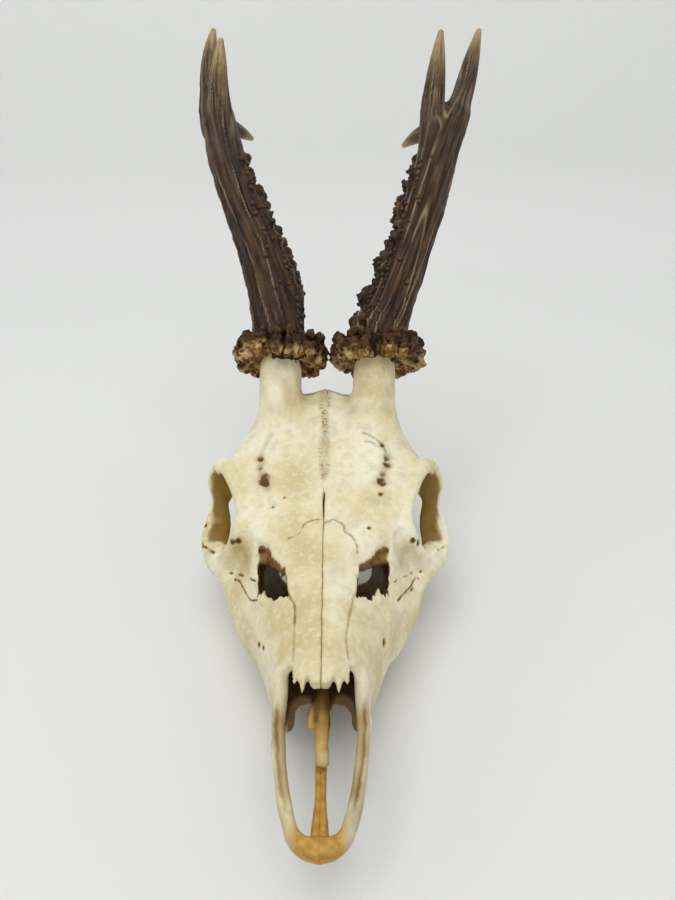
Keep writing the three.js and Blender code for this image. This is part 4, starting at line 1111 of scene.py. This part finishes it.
# How far the surface of an antler sinks at points, and its tones there
def antlerRelief(points, rails, seed):
    g = growth
    lowAlong, lowTurn, _, _ = placeOnAntler(points, rails[:1])
    along, turn, tip, above = placeOnAntler(points, rails)
    onTine = unit((tip - g["tineFrom"]) / 0.3)

    # The beam's grain runs on into the tines
    def pattern(size, offset):
        below = streaks(lowAlong, lowTurn, size, seed + offset)
        return below + onTine * (streaks(along, turn, size, seed + offset) - below)

    patterns = ("furrowSize", "fineSize", "lineSize", "thinSize")
    coarse, fine, long, thin = (pattern(g[key], k) for k, key in enumerate(patterns))
    lump = grain(*points.T, 3.2, seed + 3)
    smooth = 1 - 0.93 * unit((tip - g["tineFrom"]) / 0.6)
    low = 1 - 0.6 * rise(along, 60, 60)
    furrows = g["furrow"] * unit(-coarse) ** 1.2 - 0.3 * unit(coarse)
    sink = smooth * low * (furrows + g["fine"] * fine + g["lump"] * lump)
    sink = sink - g["line"] * smooth * np.exp(-(long / 0.07) ** 2)

    # Pale lines and worn places, and a painted highlight on the crowns of the knobs
    ridge = 0.9 * np.exp(-(long / 0.04) ** 2) * unit(0.6 + 0.9 * grain(*points.T, 9, seed + 4))
    worn = unit((fine - 0.1) * 2.5) * unit(0.5 + grain(*points.T, 12, seed + 5))
    ridge = np.maximum(ridge, worn * np.clip(0.06 + tip * 0.9, 0, 0.65))
    crown = np.clip((above - 1.8) / 3, 0, 0.12) * (tip < 0.1) * unit(0.7 + fine)
    ridge = np.maximum(ridge, crown)

    # Dark furrows, the dark side between the antlers, and the ground between the pearls
    pearl = pearlPlaces(along, turn, points) * (tip < 0.05)
    between = unit(inwardness(points, lowTurn) * 1.7 + 0.1) * fall(along, 130, 30)
    furrow = np.clip(-coarse * 1.5 - 0.15, 0, 0.6) * low
    for dark in (0.75 * unit(-1.2 * fine - 1.0 * thin) * smooth,
                 0.72 * between * unit(0.7 - fine),
                 0.7 * pearl * unit(1 - (above + 0.3) / 1.6)):
        furrow = np.maximum(furrow, dark)
    polished = rise(tip, 0.58, 0.4) ** 1.5 * unit(0.8 + 0.6 * fine)
    faded = np.clip((along - 70) / 45, 0, 0.8) * unit(0.6 + lump) * (1 - unit(tip - 0.6))
    return sink, {"ridge": unit(ridge), "furrow": furrow * 0.95, "tip": polished, "grey": faded,
                  "streak": unit(0.5 + 0.45 * fine + 0.9 * thin), "pearl": pearl}


# Pearls stand thickest on the side that faces the other antler, low down
def pearlPlaces(along, turn, points):
    facing = unit(inwardness(points, turn) * 1.6 - 0.35)
    return facing * fall(along, 96, 20) + 0.16 * fall(along, 40, 20)


def addKnobs(block, rails, side, seed):
    g = growth
    draw = np.random.default_rng(seed)
    line, reach = rails[0]
    for n in range(g["knobs"]):
        u = g["knobFrom"] + (g["knobTo"] - g["knobFrom"]) * (n + draw.uniform(0, 0.8)) / g["knobs"]
        centre = np.array([np.interp(u, reach, line[:, k]) for k in range(4)])
        ahead = np.array([np.interp(u + 1, reach, line[:, k]) for k in range(3)]) - centre[:3]
        ahead /= np.linalg.norm(ahead)
        inward = np.cross(np.cross(ahead, (-side, 0, 0)), ahead)
        inward /= np.linalg.norm(inward)
        front = np.cross(ahead, inward) * side
        angle = draw.uniform(-0.9, 0.9)
        outward = inward * math.cos(angle) + front * math.sin(angle)
        radius = draw.uniform(*g["knobRadius"]) * (1 - 0.3 * u / g["knobTo"])
        base = centre[:3] + outward * (centre[3] - 1.2)
        crown = centre[:3] + outward * (centre[3] + 0.35 * radius) + ahead * draw.uniform(-1.2, 1.8)
        addLimb(block, [base, crown], [radius * 1.15, radius * 0.85], 1.3, steps=2)


def makeAntlerPiece(sideName, side):
    one, seed = antlers[sideName], growth["seed"][sideName]
    every = np.vstack([np.array(limb) for limb in one.values()])[:, :3]
    block = Block(every.min(0) - 14, every.max(0) + 7, fineness["antler"])
    for name, steps in growth["steps"].items():
        if name in one:
            limb = np.array(one[name])
            blend = 0 if name == "beam" else growth["blend"]
            addLimb(block, limb[:, :3], limb[:, 3] * growth["slim"], blend, steps=steps)
    rails = railsOf(one)
    addKnobs(block, rails, side, growth["knobSeed"] + seed)
    press(block, growth["reach"], lambda places, cells: antlerRelief(places, rails, seed)[0])
    points, quads = keepLargest(*netOf(block.field + growth["skin"], block.low, block.step))
    _, tones = antlerRelief(points, rails, seed)
    nodes = [f"{stem}_{sideName}" for stem in ("beam", "top_tine", "rear_tine", "front_tine")]
    piece = makePiece(f"antler_{sideName}", points, quads, antlerHorn, nodes, tones)
    print("antler", sideName, len(quads))
    return piece


burrShape = {
    "tiers": [(-3.6, 16, 18, 3), (-0.6, 17.8, 24, 2.7), (2.7, 16.6, 25, 2.3)],  # level, out, count, size
    "core": 16, "dish": 11.2, "reach": 20.3, "halfHeight": 4.6, "jitter": 1.2, "room": 23, "seed": 11,
}


# Splits that run down through the coronet
def burrSplits(points, raised, side):
    angle = np.arctan2(points @ raised, points[:, 0]) + 0.03 * grain(*points.T, 1.5, 47)
    return np.exp(-(grain(16 * np.cos(angle), 16 * np.sin(angle), 0 * angle, 4.5, 46 + side) / 0.07) ** 2)


def makeCoronet(sideName, side):
    shape = burrShape
    centre = np.array(coronetAt[sideName]) * (side, 1, 1)
    axis = np.array(antlerAxis)
    raised = np.cross(axis, (1, 0, 0))
    draw = np.random.default_rng(shape["seed"] + side)
    block = Block(centre - shape["room"], centre + shape["room"], fineness["coronet"])
    _, (x, y, z) = block.window(block.low, centre + shape["room"])
    high, v = (sum((q - c) * a for q, c, a in zip((x, y, z), centre, way)) for way in (axis, raised))
    u = x - centre[0] + 0 * high
    v = v + 0 * u
    radius, angle = np.sqrt(u * u + v * v), np.arctan2(v, u)
    half = shape["halfHeight"]
    lobes = 0.9 * np.sin(7 * angle + side) + 0.6 * np.sin(12 * angle)
    bulge = unit(1 - (np.abs(high) / half) ** 2) ** 0.6
    dish = shape["dish"] + (shape["core"] - shape["dish"]) * bulge
    block.field = np.maximum(radius - dish - 0.5 * lobes, np.abs(high) - half - 0.3).astype(np.float32)
    for level, out, count, size in shape["tiers"]:
        for n in range(count):
            turn = 2 * math.pi * (n + draw.uniform(-0.3, 0.3)) / count
            r = size * draw.uniform(0.7, 1.2)
            far = min(out + 0.8 * math.sin(7 * turn + side) + draw.uniform(-0.8, 0.8), shape["reach"] - r)
            spoke = np.array([1, 0, 0]) * math.cos(turn) + raised * math.sin(turn)
            at = level + draw.uniform(-1, 1) * shape["jitter"]
            inner = centre + spoke * (far - 3.2) + axis * at * 0.7
            addLimb(block, [inner, centre + spoke * far + axis * at], [r * 0.8, r], 0.7, steps=2)

    def reliefAt(places, cells):
        p = places.T
        rough = 0.5 * grain(*p, 1.6, 41) + 0.5 * grain(*p, 0.8, 42)
        ribs = 0.9 * (0.35 - np.abs(grain(*p, 2.4, 45)))
        return rough + ribs + 1.6 * burrSplits(places - centre, raised, side)

    press(block, 2, reliefAt)
    points, quads = keepLargest(*netOf(block.field, block.low, block.step))
    level = (points - centre) @ axis
    spread = np.linalg.norm(points - centre - level[:, None] * axis, axis=1)
    facing = -(normalsOf(points, quads) @ axis)
    blotch = grain(*points.T, 5, 43) + 0.3 * grain(*points.T, 1.8, 48)
    pale = 0.75 * facing + 0.85 * blotch + 0.05 - 0.22 * (level + 1.2) - 0.10 * (spread - 16)
    pits = unit(-1.8 * grain(*points.T, 1.3, 44) - 0.5)
    furrow = pits + burrSplits(points - centre, raised, side)
    tones = {"pale": unit(pale), "furrow": unit(furrow)}
    makePiece(f"coronet_burr_{sideName}", points, quads, burr, [f"coronet_{sideName}"], tones)
    print("coronet", sideName, len(quads))


# Pearls grow over the antlers where their pearl value says
pearls = {
    "spacing": 0.0021, "density": 90000.0, "size": 0.0011, "smallest": 0.45, "largest": 1.2,
    "fineness": 2, "lumps": 900, "sheen": 0.15, "seed": {"left": 3, "right": 5},
}
pearlInputs = ("spacing", "density", "size", "smallest", "largest")


def pearlTree(seed):
    tree = bpy.data.node_groups.new("pearlsOnAntler", "GeometryNodeTree")
    tree.interface.new_socket("Geometry", in_out="INPUT", socket_type="NodeSocketGeometry")
    for name in pearlInputs:
        tree.interface.new_socket(name.capitalize(), in_out="INPUT", socket_type="NodeSocketFloat")
    tree.interface.new_socket("Geometry", in_out="OUTPUT", socket_type="NodeSocketGeometry")
    add = tree.nodes.new
    given, result = add("NodeGroupInput"), add("NodeGroupOutput")
    value, store = add("GeometryNodeInputNamedAttribute"), add("GeometryNodeStoreNamedAttribute")
    spread, ball = add("GeometryNodeDistributePointsOnFaces"), add("GeometryNodeMeshIcoSphere")
    place, noise = add("GeometryNodeInputPosition"), add("ShaderNodeTexNoise")
    less, scaled = add("ShaderNodeVectorMath"), add("ShaderNodeVectorMath")
    lumpy, split = add("GeometryNodeSetPosition"), add("ShaderNodeSeparateXYZ")
    shade, size = add("ShaderNodeMapRange"), add("FunctionNodeRandomValue")
    put, real = add("GeometryNodeInstanceOnPoints"), add("GeometryNodeRealizeInstances")
    paint = add("GeometryNodeSetMaterial")
    value.data_type = store.data_type = size.data_type = "FLOAT"
    spread.distribute_method = "POISSON"
    less.operation, scaled.operation = "SUBTRACT", "SCALE"
    for node, name, setting in (
            (value, "Name", "pearl"), (store, "Name", "ridge"),
            (spread, "Seed", seed), (size, "Seed", seed + 1),
            (ball, "Subdivisions", pearls["fineness"]), (noise, "Scale", pearls["lumps"]),
            (less, 1, (0.5, 0.5, 0.5)), (shade, "From Min", 0), (shade, "To Max", pearls["sheen"]),
            (paint, "Material", antlerHorn)):
        node.inputs[name].default_value = setting
    for source, output, node, name in (
            # points on the faces, as thick as the antler's pearl value says
            (given, "Geometry", spread, "Mesh"), (given, "Spacing", spread, "Distance Min"),
            (given, "Density", spread, "Density Max"), (value, "Attribute", spread, "Density Factor"),
            # a ball made lumpy, with a painted highlight on its crown
            (given, "Size", ball, "Radius"), (place, 0, noise, "Vector"), (noise, "Color", less, 0),
            (less, 0, scaled, 0), (given, "Size", scaled, "Scale"), (ball, "Mesh", lumpy, "Geometry"),
            (scaled, 0, lumpy, "Offset"), (place, 0, split, 0), (given, "Size", shade, "From Max"),
            (split, "Z", shade, "Value"), (lumpy, "Geometry", store, "Geometry"), (shade, 0, store, "Value"),
            # one ball of its own size on each point
            (given, "Smallest", size, 2), (given, "Largest", size, 3), (spread, "Points", put, "Points"),
            (store, "Geometry", put, "Instance"), (spread, "Rotation", put, "Rotation"),
            (size, 1, put, "Scale"), (put, "Instances", real, "Geometry"),
            (real, "Geometry", paint, "Geometry"), (paint, "Geometry", result, "Geometry")):
        tree.links.new(source.outputs[output], node.inputs[name])
    return tree


def makePearls(antler, sideName):
    tree = pearlTree(pearls["seed"][sideName])
    modifier = antler.modifiers.new("pearls", "NODES")
    modifier.node_group = tree
    key = {item.name: item.identifier for item in tree.interface.items_tree if item.in_out == "INPUT"}
    for name in pearlInputs:
        modifier[key[name.capitalize()]] = pearls[name]
    graph = bpy.context.evaluated_depsgraph_get()
    mesh = bpy.data.meshes.new_from_object(antler.evaluated_get(graph), depsgraph=graph)
    antler.modifiers.remove(modifier)
    mesh.name = f"pearls_{sideName}"
    mesh.polygons.foreach_set("use_smooth", np.ones(len(mesh.polygons), bool))
    piece = bpy.data.objects.new(f"pearls_{sideName}", mesh)
    bpy.context.scene.collection.objects.link(piece)
    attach(piece, "root")
    print("pearls", sideName, len(mesh.polygons))


for sideName, side in sides.items():
    antlerPiece = makeAntlerPiece(sideName, side)
    makePearls(antlerPiece, sideName)
    makeCoronet(sideName, side)

studio = {
    "paper": (0.81, 0.82, 0.81), "wallAt": 0.36, "wallHeight": 1.6, "bend": 0.10, "width": 5.0, "front": -3.0,
    "room": 0.50, "camera": (5, -117, 180), "pitch": 35, "lens": 27.2,
    "lamps": [  # name, place, aim, size, power
        ("softboxAbove", (-0.10, -0.28, 1.15), (0, 0, 0.05), 0.8, 6.2),
        ("softboxLeft", (-1.10, -0.20, 0.70), (0, 0, 0.05), 0.7, 1.1),
        ("softboxRight", (1.10, -0.10, 0.70), (0, 0, 0.05), 0.8, 0.9),
    ],
}


# Sheet of paper that runs back from the skull and bends up behind it
def makePaper():
    s = studio
    bend = [(s["wallAt"] + s["bend"] * math.sin(a), s["bend"] * (1 - math.cos(a)))
            for a in np.linspace(0, 1.45, 14)]
    profile = [(s["front"], 0.0), (s["wallAt"] - 0.4, 0.0), *bend]
    last, before = profile[-1], profile[-2]
    grow = s["wallHeight"] / (last[1] - before[1])
    profile.append((last[0] + (last[0] - before[0]) * grow, last[1] + (last[1] - before[1]) * grow))
    vertices = [(x, y, z) for y, z in profile for x in (-s["width"], s["width"])]
    faces = [(2 * i, 2 * i + 1, 2 * i + 3, 2 * i + 2) for i in range(len(profile) - 1)]
    mesh = bpy.data.meshes.new("paper")
    mesh.from_pydata(vertices, [], faces)
    mesh.polygons.foreach_set("use_smooth", np.ones(len(faces), bool))
    material, _, shader = nodeMaterial("paper")
    shader.inputs["Base Color"].default_value = (*s["paper"], 1)
    shader.inputs["Roughness"].default_value = 0.85
    mesh.materials.append(material)
    paper = bpy.data.objects.new("paper", mesh)
    bpy.context.scene.collection.objects.link(paper)
    print("paper", len(faces))


def makeStudio():
    world = bpy.data.worlds.new("room")
    bpy.context.scene.world = world
    world.use_nodes = True
    world.node_tree.nodes["Background"].inputs["Color"].default_value = (1, 1, 1, 1)
    world.node_tree.nodes["Background"].inputs["Strength"].default_value = studio["room"]
    for name, place, aim, size, power in studio["lamps"]:
        lamp = bpy.data.lights.new(name, "AREA")
        lamp.energy = power
        lamp.size = size
        light = bpy.data.objects.new(name, lamp)
        light.location = place
        light.rotation_euler = (Vector(aim) - Vector(place)).to_track_quat("-Z", "Y").to_euler()
        bpy.context.scene.collection.objects.link(light)
    bpy.context.scene.view_settings.view_transform = "Standard"
    view = bpy.data.cameras.new("camera")
    view.lens = studio["lens"]
    view.sensor_width = 36
    view.clip_start = 0.01
    camera = bpy.data.objects.new("camera", view)
    camera.location = toFrame([studio["camera"]])[0]
    camera.rotation_euler = (math.radians(90 - studio["pitch"]), 0, 0)
    bpy.context.scene.collection.objects.link(camera)
    bpy.context.scene.camera = camera
    print("studio", len(studio["lamps"]), "lamps")


makePaper()
makeStudio()
bpy.context.view_layer.update()
